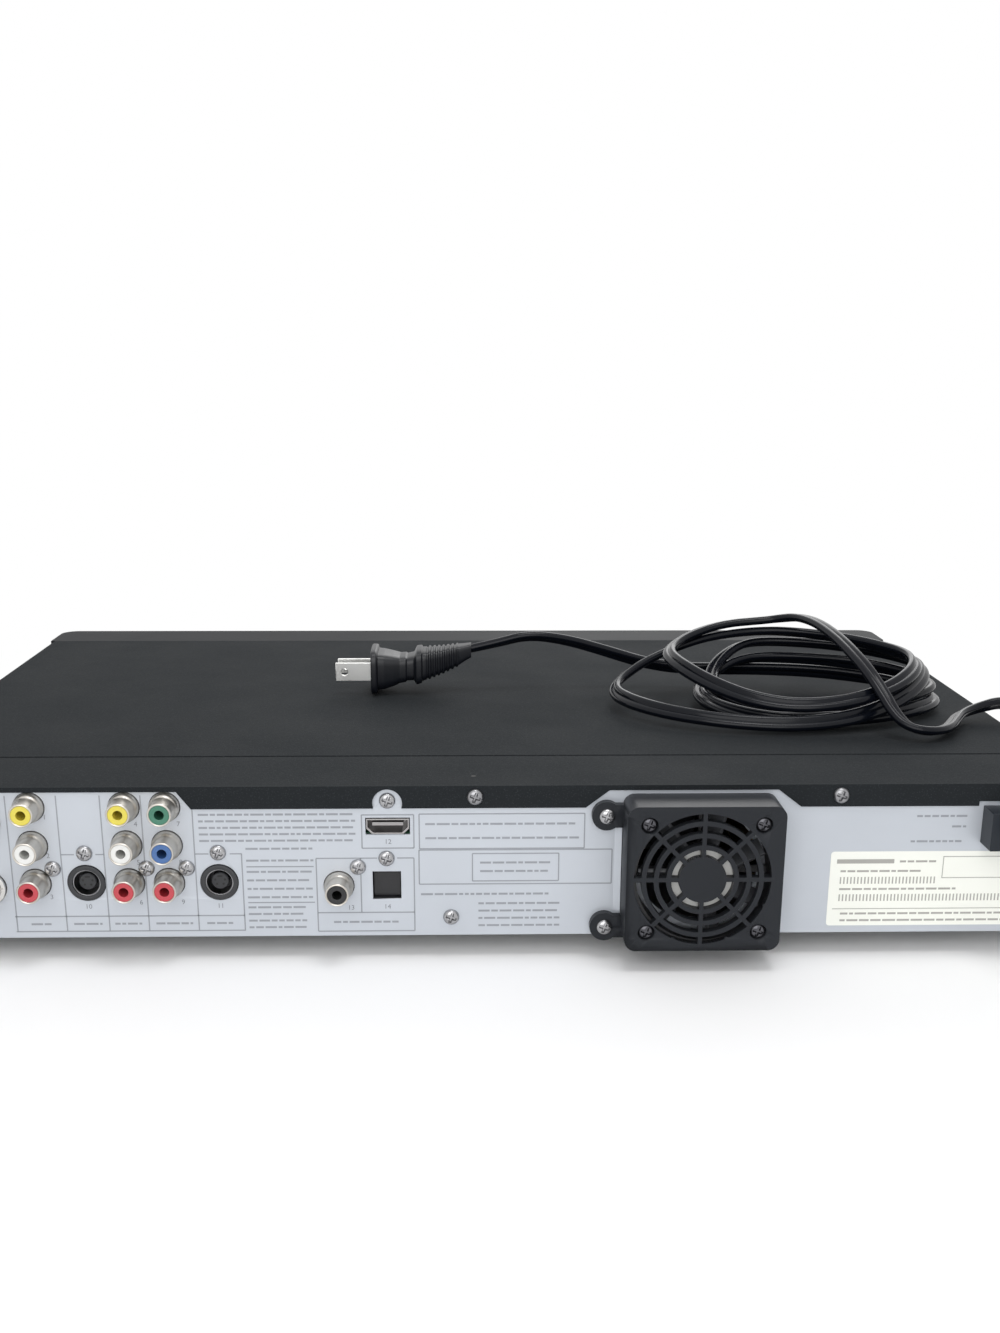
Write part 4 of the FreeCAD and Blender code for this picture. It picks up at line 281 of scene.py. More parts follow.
def handling_group():
    """Handling: cloudy colour change over centimetres, and pale dust where the surface looks up."""
    inputs = {"Color": (COLOUR, (0.5, 0.5, 0.5, 1)), "Cloud": (NUMBER, 0.1), "Dust": (NUMBER, 0.1),
              "Roughness": (NUMBER, 0.5)}
    tree, given, out = new_group("Handling", inputs, {"Color": COLOUR, "Roughness": NUMBER})
    place = object_place(tree)
    cloud = linked(tree, "TexNoise", {"Vector": place, "Scale": 28.0, "Detail": 4.0}).outputs["Fac"]
    speck = linked(tree, "TexNoise", {"Vector": place, "Scale": 900.0, "Detail": 2.0}).outputs["Fac"]
    light = worked(tree, "MULTIPLY", ranged(tree, cloud, 0.3, 0.7, -0.5, 0.5), given.outputs["Cloud"])
    tinted = multiplied(tree, given.outputs["Color"], worked(tree, "ADD", light, 1.0))
    normal = linked(tree, "NewGeometry").outputs["Normal"]
    upward = linked(tree, "SeparateXYZ", {0: normal}).outputs["Z"]
    lying = worked(tree, "MULTIPLY", ranged(tree, upward, 0.3, 1.0), ranged(tree, speck, 0.5, 0.75))
    amount = worked(tree, "MULTIPLY", lying, given.outputs["Dust"])
    dusted = linked(tree, "Mix", {"Factor": amount, "A": tinted, "B": DUST}, data_type="RGBA")
    rough = worked(tree, "ADD", light, given.outputs["Roughness"], clamp=True)
    rougher = worked(tree, "ADD", rough, amount, clamp=True)
    fed(tree, out, {"Color": dusted.outputs["Result"], "Roughness": rougher})
    return tree


GROUPS = {"Grain": grain_group, "Handling": handling_group}


def grouped(tree, group, inputs):
    """A shader group placed in a material with its own values."""
    return linked(tree, "Group", inputs, node_tree=bpy.data.node_groups.get(group) or GROUPS[group]())


def finish(name, colour, rough=0.5, metal=0.0, grain=0.6, height=0.1, cloud=0.1, dust=0.0, coat=0.0,
           stretch=(1, 1, 1), specular=0.5):
    """A finish: colour and roughness with Handling, and Grain's bump on the normal; grain is in mm."""
    known = bpy.data.materials.get(name + "_finish")
    if known:
        return known
    made = bpy.data.materials.new(name + "_finish")
    made.use_nodes = True
    tree = made.node_tree
    handled = grouped(tree, "Handling", {"Color": (*colour[:3], 1), "Cloud": cloud, "Dust": dust,
                                         "Roughness": rough})
    fine = grouped(tree, "Grain", {"Size": grain * MM, "Height": height, "Stretch": stretch})
    fed(tree, tree.nodes["Principled BSDF"],
        {"Base Color": handled.outputs["Color"], "Roughness": handled.outputs["Roughness"],
         "Normal": fine.outputs["Normal"], "Metallic": metal, "Specular IOR Level": specular,
         "Coat Weight": coat, "Coat Roughness": COAT_ROUGHNESS})
    return made


def coloured_over(made, over):
    """Puts what over makes of a finish's colour in that colour's place."""
    base = made.node_tree.nodes["Principled BSDF"].inputs["Base Color"]
    made.node_tree.links.new(over(made.node_tree, base.links[0].from_socket), base)
    return made


def plastic(name, colour, rough=0.45, grain=0.35, height=0.12, **more):
    """Moulded plastic: a fine spark-eroded grain and a slight sheen."""
    return finish(name, colour, rough, grain=grain, height=height, **more)


def plated(name, colour, rough=0.22, **more):
    """Nickel or chrome plate: plain metal with faint clouding."""
    return finish(name, colour, rough, metal=1.0, grain=0.8, height=0.03, cloud=0.16, **more)


def rolled_steel(name, colour, rough=0.38):
    """Rolled or brushed sheet: noise drawn out along one axis."""
    return finish(name, colour, rough, metal=0.9, grain=1.2, height=0.08, cloud=0.12, stretch=(1, 12, 12))


def cover_paint(colour):
    """Textured black paint: a pebbled coat with painted glints, bright specks in its colour that stand in for
    the light that the pebbles catch.
    """
    def pebbled(tree, base):
        pebble = linked(tree, "TexVoronoi", {"Vector": object_place(tree), "Scale": 1300.0})
        # Painted glints: the colour is 1.6 times as bright at each pebble's middle and 0.8 times as bright
        # away from it.
        return multiplied(tree, base, ranged(tree, pebble.outputs["Distance"], 0.0, 0.35, 1.6, 0.8))

    return coloured_over(finish("cover_paint", colour, 0.8, grain=0.75, height=0.5, cloud=0.1, dust=0.02,
                                specular=0.1), pebbled)


def board_finish(name, mask_colour, track_colour):
    """Circuit board: a solder mask with tracks of another shade that run on a coarse square grid."""
    def tracked(tree, base):
        tracks = linked(tree, "TexBrick", {"Vector": object_place(tree), "Scale": 130.0,
                                           "Color1": (*mask_colour, 1), "Color2": (*mask_colour, 1),
                                           "Mortar": (*track_colour, 1), "Mortar Size": 0.05,
                                           "Brick Width": 0.9, "Row Height": 0.35})
        return linked(tree, "Mix", {"Factor": 0.6, "A": base, "B": tracks.outputs["Color"]},
                      data_type="RGBA").outputs["Result"]

    return coloured_over(finish(name, mask_colour, 0.35, grain=1.5, height=0.05, coat=0.3), tracked)


def cord_vinyl(colour):
    """Glossy flexible vinyl: a smooth skin with long shallow ripples from the extruder."""
    return finish("cord_vinyl", colour, 0.2, grain=6.0, height=0.08, cloud=0.1, dust=0.006, specular=0.2)


def window_glass(colour):
    """Dark smoked acrylic, smooth and with a clear coat."""
    return finish("window_acrylic", colour, 0.08, grain=3.0, height=0.01, cloud=0.02, coat=0.6)


# Sizes and colours that a user would change

def colour_of(label, default, words):
    """A colour that the panel lists."""
    return FloatVectorProperty(name=label, description=words, subtype="COLOR", size=3, min=0, max=1,
                               default=default)


class RecorderColours(bpy.types.PropertyGroup):
    """The recorder's main colours."""
    cover: colour_of("Cover", (0.0195, 0.0225, 0.0252), "Textured paint of the folded cover")
    panel: colour_of("Rear panel", (0.50, 0.53, 0.575), "Satin paint of the rear panel")
    ink: colour_of("Panel print", (0.20, 0.21, 0.23), "Ink of the lines on the rear panel")
    label: colour_of("Label", (0.84, 0.85, 0.79), "White film of the rating label")
    fan: colour_of("Fan housing", (0.022, 0.024, 0.028), "Moulded plastic of the fan housing")
    cord: colour_of("Cord", (0.0035, 0.0045, 0.0075), "Vinyl of the mains cord and its plug")
    bezel: colour_of("Front", (0.012, 0.013, 0.015), "Gloss plastic of the front bezel")
    button: colour_of("Buttons", (0.40, 0.41, 0.43), "Silver plastic of the buttons")


class RecorderCord(bpy.types.PropertyGroup):
    """The mains cord's section and length; the length is not used."""
    width: FloatProperty(name="Width", description="Across both cores", unit="LENGTH", default=0.0065)
    thickness: FloatProperty(name="Thickness", description="Across one core", unit="LENGTH", default=0.0034)
    length: FloatProperty(name="Length", description="From the inlet to the plug", unit="LENGTH",
                          default=1.63)


class RecorderStage(bpy.types.PropertyGroup):
    """Where the camera stands and how strong the lamps are."""
    pitch: FloatProperty(name="Pitch", description="How far the camera looks down", subtype="ANGLE",
                         default=0.3032)
    yaw: FloatProperty(name="Yaw", description="How far it looks to the inlet's side", subtype="ANGLE",
                       default=0.0279)
    roll: FloatProperty(name="Roll", description="How far it leans", subtype="ANGLE", default=0.0039)
    lens: FloatProperty(name="Lens", description="Focal length in mm on a 36 mm sensor", default=38.41)
    key: FloatProperty(name="Key lamp", description="Power that each soft box takes its share of",
                       unit="POWER", default=7.3)


# Mains cord

# In millimetres, each point is how far across from the rear panel's middle towards the inlet, in front of
# the panel and over the cover it lies. The lead runs from the plug to the hank, the tail on to the inlet.
LEAD = [(-1, 145, 19), (11, 145.4, 21.5), (25, 146, 25), (42, 147.5, 22.5), (60, 149, 17),
        (77, 150, 11.5), (93, 149.5, 9.2), (109, 149, 9)]
TAIL = [(134.5, 143.5, 32.5), (141.5, 136.5, 34.5), (146.5, 123, 34.5), (150.5, 107, 32), (154, 93, 28),
        (157.5, 80.5, 23), (161, 70.5, 16.5), (164, 63.5, 10), (168, 58, 5.5), (175.5, 55.5, 4),
        (184.5, 60.5, 3.6), (191, 72, 3.8), (197, 83, 4), (206.5, 88.5, 5.6), (217, 89, 8),
        (226, 84.5, 5.5), (231, 74, -2.5), (233, 58, -12), (234, 38, -20), (234.5, 17, -25),
        (234.5, -4, -25.5), (231.5, -21, -22.5), (222.5, -34, -19), (208, -39.5, -16.5),
        (195, -34.5, -15.3), (187, -23, -15.1)]
# Each loop of the hank, from its back round its right end, its front and its left end: how far in front of
# the panel or across it that reach lies, and its height over the cover.
LOOPS = [((149, 9), (196, 5.2), (75, 3.8), (96, 5.5)),
         ((145.5, 15.2), (194, 11.2), (83.5, 6.2), (101, 10.4)),
         ((150, 21.4), (190, 18.2), (66, 4.2), (59, 7.4)),
         ((146.5, 27), (184, 22.5), (70.5, 10.6), (83, 21.4))]
LOOPS_END = (144.5, 31.5)
# How much nearer or further the last loop lies at its reach to either side.
LAST_TURN = 7
LOOPS_MIDDLE, LOOPS_SIDE = 128, 113
STEPS_IN_QUARTER = 4
# How far the cord's broad face leans up from looking sideways, in degrees, along its length from the inlet.
LEANS = np.array([(0, 10), (50, 25), (120, 60), (200, 45), (245, 72), (290, 84), (340, 82), (395, 76),
                  (440, 30), (500, 48), (530, 66), (580, 40), (640, 72), (680, 76), (730, 30), (780, 50),
                  (860, 26), (940, 55), (1010, 76), (1060, 34), (1140, 62), (1190, 34), (1255, 76),
                  (1310, 30), (1400, 56), (1460, 28), (1560, 45), (1620, 70), (1680, 86)])
# Where the cord leaves the inlet, the step of its line, and the air between it and the cover.
LEAVING, LINE_STEP, RESTING_GAP = 187, 1.1, 0.06
# Half the arc of each core in degrees, its points, and the groove's depth as a share of the core's radius.
CORE_ARC, CORE_POINTS, GROOVE = 128, 12, 0.62


def hank_points():
    """The hank's loops: in each quarter turn, across and along the reaches by sine and cosine, and the
    height eased from one reach to the next."""
    reaches = [reach for loop in LOOPS for reach in loop] + [LOOPS_END]
    last_loop = len(reaches) - 1 - len(LOOPS[-1])
    made = []
    for i in range(len(reaches) - 1):
        (reach, height), (after, next_height) = reaches[i], reaches[i + 1]
        for step in range(STEPS_IN_QUARTER):
            share = step / STEPS_IN_QUARTER
            turn = math.pi / 2 * share
            fade = (1 - math.cos(math.pi * share)) / 2
            rising = height + (next_height - height) * fade
            deep, side, grow, shrink = reach, after, math.sin(turn), math.cos(turn)
            if i % 2:
                deep, side, grow, shrink = side, deep, shrink, grow
            swung = math.copysign(LAST_TURN, side - LOOPS_MIDDLE) * grow if i >= last_loop else 0
            made.append((LOOPS_MIDDLE + (side - LOOPS_MIDDLE) * grow,
                         LOOPS_SIDE + (deep - LOOPS_SIDE) * shrink - swung, rising))
    return made + [(LOOPS_MIDDLE, *LOOPS_END)]


def over_cover(points):
    """Points across, in front of the panel and over the cover, as points of the shared frame."""
    across, deep, high = np.asarray(points, float).T * MM
    return np.stack([-across, PANEL_Y - deep, COVER_TOP + high], -1)


def smooth_line(points):
    """The points of an open NURBS spline of order 3 through which the control points are drawn."""
    curve = bpy.data.curves.new("route", "CURVE")
    curve.dimensions = "3D"
    spline = curve.splines.new("NURBS")
    spline.points.add(len(points) - 1)
    spline.points.foreach_set("co", np.concatenate([points, np.ones((len(points), 1))], 1).ravel())
    spline.order_u = 3
    spline.use_endpoint_u = True
    spline.resolution_u = 12
    return points_of(mesh_of(curve))


def even_steps(line, step):
    """The line's points again, at equal steps along its length."""
    gone = np.concatenate([[0], np.cumsum(np.linalg.norm(np.diff(line, axis=0), axis=1))])
    at = np.linspace(0, gone[-1], int(gone[-1] / step) + 1)
    return np.stack([np.interp(at, gone, line[:, i]) for i in range(3)], -1)


def unit(rows):
    """Rows of numbers as directions: each is divided by the root of the sum of its squares."""
    return rows / np.maximum(np.linalg.norm(rows, axis=-1, keepdims=True), 1e-12)


def standing_frames(line):
    """For each point of a flat cord's line, the direction across its two cores and the one square to its
    broad face. The face looks sideways, because a flat cord bends over its thin side, and leans up by the
    angle that the table gives for that length."""
    ahead = unit(np.gradient(line, axis=0))
    up = np.array([0.0, 0.0, 1.0])
    side = unit(np.cross(ahead, up))
    gone = np.arange(len(line)) * LINE_STEP
    lean = np.radians(np.interp(gone, LEANS[:, 0], LEANS[:, 1]))[:, None]
    rising = unit(np.cross(side, ahead))
    face = side * np.cos(lean) + rising * np.sin(lean)
    return unit(np.cross(ahead, face)), face


def two_core_profile(width, thickness):
    """The section of a flat two-core cord: two round cores side by side, each an arc of cosine and sine,
    with a groove between them."""
    radius = thickness / 2
    middle = width / 2 - radius
    turn = np.radians(np.linspace(-CORE_ARC, CORE_ARC, CORE_POINTS))
    right = np.stack([middle + radius * np.cos(turn), radius * np.sin(turn)], -1)
    groove = np.array([[0, radius * GROOVE]])
    return np.concatenate([right, groove, -right, -groove])


# The plug from its strain relief's end to its face, in millimetres: along it, half its width, half its
# height and how far its middle stands over the blades' middle.
PLUG = np.array([(0.4, 3.6, 3, 8.3), (3, 4.4, 3.5, 7.4), (7, 5.8, 4.5, 5.9), (13, 7.3, 5.4, 4.1),
                 (20.6, 8.9, 6.5, 2.4), (21.6, 9, 6.6, 2.2), (22.2, 9.9, 7.5, 2.1),
                 (24.2, 10.1, 7.6, 1.7), (24.9, 9.2, 6.6, 1.5), (25.5, 8.1, 5.5, 1.3),
                 (28.4, 7.9, 5.2, 0.9), (29, 8.4, 5.7, 0.8), (31.6, 8.6, 5.9, 0.5), (34.4, 9.5, 6.9, 0.2),
                 (38.4, 10.6, 7.9, 0), (41, 11, 8.2, 0), (41.4, 12.2, 9.5, 0), (41.9, 12.5, 9.8, 0),
                 (43.6, 12.5, 9.8, 0), (44, 12.2, 9.5, 0)])
PLUG_STEP, PLUG_SIDES, PLUG_POWER = 0.2, 56, 0.4
RIBS_FROM, RIBS_TO, RIB_PITCH, RIB_HIGH, RIB_STEEP = 6.0, 20.0, 2.0, 0.32, 2.5


def plug_surface(middle):
    """The plug's moulding: rounded boxes along it, each a circle whose cosine and sine are raised to two
    fifths, as wide and high as the table says, with the grip's ribs as a squared-off wave on their size."""
    along = np.arange(PLUG[0, 0], PLUG[-1, 0] + PLUG_STEP / 2, PLUG_STEP)
    wide, high, rise = (np.interp(along, PLUG[:, 0], PLUG[:, i]) for i in (1, 2, 3))
    ribbed = (along > RIBS_FROM) & (along < RIBS_TO)
    wave = np.clip(np.sin(along * 2 * math.pi / RIB_PITCH) * RIB_STEEP, -1, 1)
    wide, high = (np.where(ribbed, size + RIB_HIGH * wave, size) for size in (wide, high))
    turn = np.linspace(0, 2 * math.pi, PLUG_SIDES, endpoint=False)
    across, up = (np.sign(side) * np.abs(side) ** PLUG_POWER for side in (np.cos(turn), np.sin(turn)))
    points = np.stack([np.repeat(along[:, None], PLUG_SIDES, 1), middle[0] + wide[:, None] * across,
                       middle[1] + rise[:, None] + high[:, None] * up], -1).reshape(-1, 3)
    return points * MM, tube_faces(len(along), PLUG_SIDES)


class RECORDER_OT_cord(bpy.types.Operator):
    """Makes the mains cord, hanked on the cover, with its plug and blades"""
    bl_idname = "recorder.cord"
    bl_label = "Mains cord"

    def execute(self, context):
        sizes, colours = context.scene.recorder_cord, context.scene.recorder_colours
        vinyl = cord_vinyl(colours.cord)
        start = (LEAVING, (PANEL_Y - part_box("cord_bushing")[1].y) / MM, TAIL[-1][2])
        controls = over_cover([start, *TAIL[::-1], *hank_points()[::-1], *LEAD[::-1]])
        line = even_steps(smooth_line(controls), LINE_STEP * MM)
        wide, face = standing_frames(line)
        core = sizes.thickness / 2
        under = core + (sizes.width / 2 - core) * np.abs(wide[:, 2])
        over = (line[:, 1] < PANEL_Y) & (line[:, 0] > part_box("top_cover")[0].x - sizes.width)
        lowest = COVER_TOP + under + RESTING_GAP * MM
        line[:, 2] = np.where(over, np.maximum(line[:, 2], lowest), line[:, 2])
        skin = carried(line, wide, face, two_core_profile(sizes.width, sizes.thickness))
        cord = shaped("mains_cord", [skin], vinyl,
                      replaces=("cord_lead", "cord_hank", "cord_tail"))
        blade_low, blade_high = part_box("plug_blades")
        middle = ((blade_low.y + blade_high.y) / 2 / MM, (blade_low.z + blade_high.z) / 2 / MM)
        soft = finish("plug_vinyl", colours.cord, 0.36, grain=0.5, height=0.06, dust=0.02, specular=0.45)
        plug = shaped("mains_plug", [plug_surface(middle)], soft, replaces=("power_plug",),
                      sharp=50)
        blades = dressed("plug_blades", plated("blade_nickel", (0.86, 0.86, 0.84), 0.34), 0.12)
        dressed("cord_bushing", finish("bushing_plastic", (0.015, 0.019, 0.025), 0.34, grain=0.8, height=0.04,
                                       dust=0.01, specular=0.25), 0.25)
        return {"FINISHED"}


# Case

def rounded_plate(low, high, corner, steps=6):
    """A flat plate between two corners, level with the rear panel, with quarter-round corners: each one's
    arc is its centre plus the radius times cosine and sine."""
    (x0, y0, z0), (x1, y1, z1) = low, high
    centres = np.array([[x1 - corner, z1 - corner], [x0 + corner, z1 - corner],
                        [x0 + corner, z0 + corner], [x1 - corner, z0 + corner]])
    angle = np.radians(np.arange(4)[:, None] * 90 + np.linspace(0, 90, steps))
    ring = (centres[:, None] + corner * np.stack([np.cos(angle), np.sin(angle)], -1)).reshape(-1, 2)
    count = len(ring)
    points = np.concatenate([np.stack([ring[:, 0], np.full(count, y), ring[:, 1]], -1) for y in (y0, y1)])
    return points, tube_faces(2, count, flipped=True)


# A screw, in millimetres: its head, its shank, and the cross with how its arms end and slope.
HEAD_RADIUS, HEAD_HIGH, HEAD_SIDES, HEAD_RINGS, HEAD_POWER = 2.9, 1.6, 64, 16, 3.2
SHANK_RADIUS, SHANK_LONG = 1.4, 5.0
CROSS_TILT, CROSS_DEEP = math.radians(20), 0.9
ARM_HALF, ARM_SLOPE, ARM_REACH, ARM_END = 0.55, 0.25, 1.9, 0.3


def screw(centre, direction):
    """A cross-head screw as one surface of rings: the head's height over its seat is a flat cap that rounds
    off near the rim, less a cross whose arms are as deep as a smooth step of the distance from them."""
    turn = np.linspace(0, 2 * math.pi, HEAD_SIDES, endpoint=False)
    share = np.linspace(0.02, 1, HEAD_RINGS)[:, None]
    across, up = HEAD_RADIUS * share * np.cos(turn), HEAD_RADIUS * share * np.sin(turn)
    along = np.abs(across * math.cos(CROSS_TILT) + up * math.sin(CROSS_TILT))
    beside = np.abs(up * math.cos(CROSS_TILT) - across * math.sin(CROSS_TILT))
    near, reach = np.minimum(along, beside), np.maximum(along, beside)
    cross = np.clip((ARM_HALF - near) / ARM_SLOPE, 0, 1) * np.clip((ARM_REACH - reach) / ARM_END, 0, 1)
    high = HEAD_HIGH * np.sqrt(np.clip(1 - share ** HEAD_POWER, 0, 1)) - CROSS_DEEP * cross
    shank = [np.stack([SHANK_RADIUS * np.cos(turn), np.full(HEAD_SIDES, y), SHANK_RADIUS * np.sin(turn)], -1)
             for y in (0.0, -SHANK_LONG)]
    rings = np.concatenate([np.stack([across, high, up], -1), np.stack(shank)])
    points = rings.reshape(-1, 3) * MM
    if direction != "y":
        points = points[:, [1, 0, 2]] * [1 if direction == "x" else -1, 1, 1]
    return points + np.asarray(centre) * MM, tube_faces(len(rings), HEAD_SIDES, flipped=direction == "x")


# Where the screws' heads lie, in millimetres: on the rear panel, the cover's flange, the fan's ears and
# face, and the cover's sides. Each place is across and up, at the sides forward or back and up.
SEAT, FLANGE_SEAT, EAR_SEAT, CORNER_SEAT, SIDE_SEAT = 137.75, 138.75, 140.75, 151.75, 217.5
JACK_SCREWS = [(148.2, 34.0), (136.8, 39.7), (115.5, 34.0), (101.5, 34.0), (90.3, 39.7), (30.7, 58.5),
               (31.35, 37.2), (41.45, 34.0), (8.7, 14.9)]
EAR_SCREWS = [(-45.8, 11.9), (-45.8, 53.3)]
CORNER_SCREWS = [(-98.35, 14.75), (-98.35, 53.95), (-59.15, 14.75), (-59.15, 53.95)]
REAR_SCREWS = [(0.1, 60.0), (-127.9, 60.0)]
SIDE_SCREWS = [(-98.25, 17.0), (103.75, 17.0)]
DIMPLE = (0.6, 126.75, 64)


class RECORDER_OT_case(bpy.types.Operator):
    """Dresses the cover, the rear panel, the base, the feet and the screws"""
    bl_idname = "recorder.case"
    bl_label = "Case"

    def execute(self, context):
        colours = context.scene.recorder_colours
        dressed("top_cover", cover_paint(colours.cover), 0)
        dressed("rear_panel", finish("panel_paint", colours.panel, 0.42, metal=0.25, grain=0.5, height=0.06,
                                     cloud=0.05), 0)
        dressed("chassis_base", rolled_steel("zinc_sheet", (0.46, 0.47, 0.47)), 0)
        dressed("feet", plastic("foot_rubber", (0.02, 0.02, 0.021), 0.85, grain=0.5, height=0.3), 0.4)
        steel = plated("screw_nickel", (0.40, 0.40, 0.41), 0.26)
        dark = plated("screw_black_zinc", (0.10, 0.10, 0.11), 0.35)
        shaped("jack_screw_heads", [screw((x, SEAT, z), "y") for x, z in JACK_SCREWS], steel,
               replaces=("connector_screws",))
        shaped("fan_ear_screw_heads", [screw((x, EAR_SEAT, z), "y") for x, z in EAR_SCREWS], steel,
               replaces=("fan_screws",))
        shaped("fan_corner_screw_heads", [screw((x, CORNER_SEAT, z), "y") for x, z in CORNER_SCREWS], dark,
               replaces=("fan_screws",))
        sides = [screw((way * SIDE_SEAT, y, z), side) for way, side in ((1, "x"), (-1, "-x"))
                 for y, z in SIDE_SCREWS]
        shaped("cover_screw_heads", [screw((x, FLANGE_SEAT, z), "y") for x, z in REAR_SCREWS] + sides,
               plated("cover_screw_zinc", (0.30, 0.30, 0.31), 0.34),
               replaces=("cover_screws",))
        dimple = turned([(0.9, -0.05), (0.9, 0.04), (0.7, 0.06)], DIMPLE, "z", 20)
        shaped("cover_dimple", [dimple], finish("dimple_paint", (0.02, 0.02, 0.02), 0.7))
        return {"FINISHED"}


# Print on the rear panel, in millimetres: across from the middle as seen from behind, and up from the
# panel's lower edge. Upright rules, level rules, and frames by their left, right, lower and upper rules.
RULE = 0.45
UPRIGHTS = [(-162.5, 2.3, 52.8), (-145, 2.3, 52.8), (-130, 2.3, 52.8), (-116, 2.3, 52.8),
            (-98.4, 2.3, 47.9), (-82.1, 2.2, 31.2), (-56.1, 1.7, 29.3), (-21.7, 1.7, 29.3),
            (-40.5, 8.8, 29.3)]
LEVELS = [(8.0, -163, -82), (2.3, -163, -82), (31.2, -145, -140.4), (31.2, -133, -130),
          (31.2, -98.4, -93.6), (31.2, -86.2, -82), (1.7, -56.1, -21.7), (29.3, -56.1, -34.6),
          (29.3, -27.6, -21.7), (8.8, -56.1, -21.7), (26.3, -80.6, -57), (12.8, -80.6, -57)]
FRAMES = [(-39.8, -21.6, 33, 45.3), (-19.7, 38.3, 32.7, 45.5), (-19.9, 48.2, 19.4, 32.2),
          (-1.1, 29.4, 20.5, 30.8)]
# Blocks of ruled strokes: from, to, lowest, highest, how many rows.
STROKES = [(-96.5, -42, 36, 45.6, 5), (-80.6, -57, 28.6, 33, 2), (-80.6, -57.6, 14.8, 24.4, 4),
           (-80.6, -60, 3.4, 11, 4), (-17.6, 36.4, 36.6, 41.8, 2), (1.6, 26.8, 24.2, 27.4, 2),
           (-19.4, 27, 15.6, 15.6, 1), (1, 30, 3.6, 12, 4), (-157.5, -149.5, 5.1, 5.1, 1),
           (-142.5, -132.5, 5.1, 5.1, 1), (-128, -118.5, 5.1, 5.1, 1), (-113.5, -100.5, 5.1, 5.1, 1),
           (-95.5, -85, 5.1, 5.1, 1), (-50.5, -27.5, 5.2, 5.2, 1), (155.7, 174, 43.9, 43.9, 1),
           (168.5, 173.5, 40, 40, 1), (154.2, 172.4, 34.5, 34.5, 1)]
STROKE_HIGH, STROKE_STEP, STROKE_GAP, STROKE_LEAST = 0.75, 2.6, 0.6, 0.8
# Where the numbers from 1 on stand.
NUMBERS = [(-149.4, 44.2), (-149.4, 30.0), (-149.4, 14.6), (-118.2, 41.5), (-118.2, 27.4), (-118.2, 12.4),
           (-103.4, 41.5), (-103.4, 27.4), (-103.4, 12.4), (-136.8, 10.9), (-90.3, 10.9), (-30.7, 34.6),
           (-44.2, 9.9), (-31.3, 10.2)]
NUMBER_HIGH = 2.5
PRINT_PROUD = 0.04
# The ink's share in the paler ink, the rest being the panel's colour.
INK_SHARE = 0.75
# A sloping step in the panel: from, to, lowest, highest; then its height, its foot's height and its middle.
STEP = (49.0, 51.4, 9.0, 41.0)
STEP_HIGH, STEP_FOOT, STEP_MIDDLE = 0.9, 0.1, 50.0
# The label: from, to, lowest, highest, its height and its corners; then the rules, the strokes and two rows
# of upright ticks on it, by their levels and ends.
LABEL, LABEL_HIGH, LABEL_CORNER = (126.2, 208, 2.6, 30.8), 0.1, 1.2
LABEL_RULES = [(128.5, 149, 26.3, 27.9), (166.5, 205, 20.6, 20.9), (166.5, 205, 28.6, 28.9),
               (166.5, 166.8, 20.6, 28.9), (204.7, 205, 20.6, 28.9), (128, 206, 8.9, 9.2)]
LABEL_STROKES = [(151, 164, 27, 27, 1), (130, 160, 23.4, 23.4, 1), (130, 172, 16.6, 16.6, 1),
                 (131, 195, 4.6, 7.2, 2)]
TICKS_FROM, TICK_PITCH, TICK_WIDE, TICK_HIGH = 130, 1.25, 0.5, 2.6
TICK_ROWS = [(18.6, 164), (12.0, 190)]


def on_panel(left, right, low, high, proud=PRINT_PROUD, behind=0.02):
    """A thin slab on the rear panel from its place across and up, seen from behind."""
    return slab((-right * MM, PANEL_Y - behind * MM, PANEL_LOW + low * MM),
                (-left * MM, PANEL_Y + proud * MM, PANEL_LOW + high * MM))


def stroke_rows(left, right, low, high, rows, random):
    """Rows of short strokes: each row fills the width with strokes of uneven length and a small gap."""
    made = []
    for level in np.linspace(low, high, rows):
        at = left
        while at < right - STROKE_LEAST:
            end = min(at + STROKE_STEP * random.uniform(0.5, 1.8), right)
            made.append((at, end, level - STROKE_HIGH / 2, level + STROKE_HIGH / 2))
            at = end + STROKE_GAP
    return made


def figures(text, across, up):
    """The outline of a number as flat faces on the rear panel, standing the print's height proud."""
    curve = bpy.data.curves.new("figures", "FONT")
    curve.body, curve.size, curve.align_x = text, NUMBER_HIGH * MM, "CENTER"
    curve.extrude = PRINT_PROUD * MM
    curve.resolution_u = 3
    mesh = mesh_of(curve)
    weld(mesh, mesh, 1e-6)
    flat = points_of(mesh)
    place = np.stack([-flat[:, 0] - across * MM, PANEL_Y + flat[:, 2], flat[:, 1] + PANEL_LOW + up * MM], -1)
    return place, [list(face.vertices) for face in mesh.polygons]


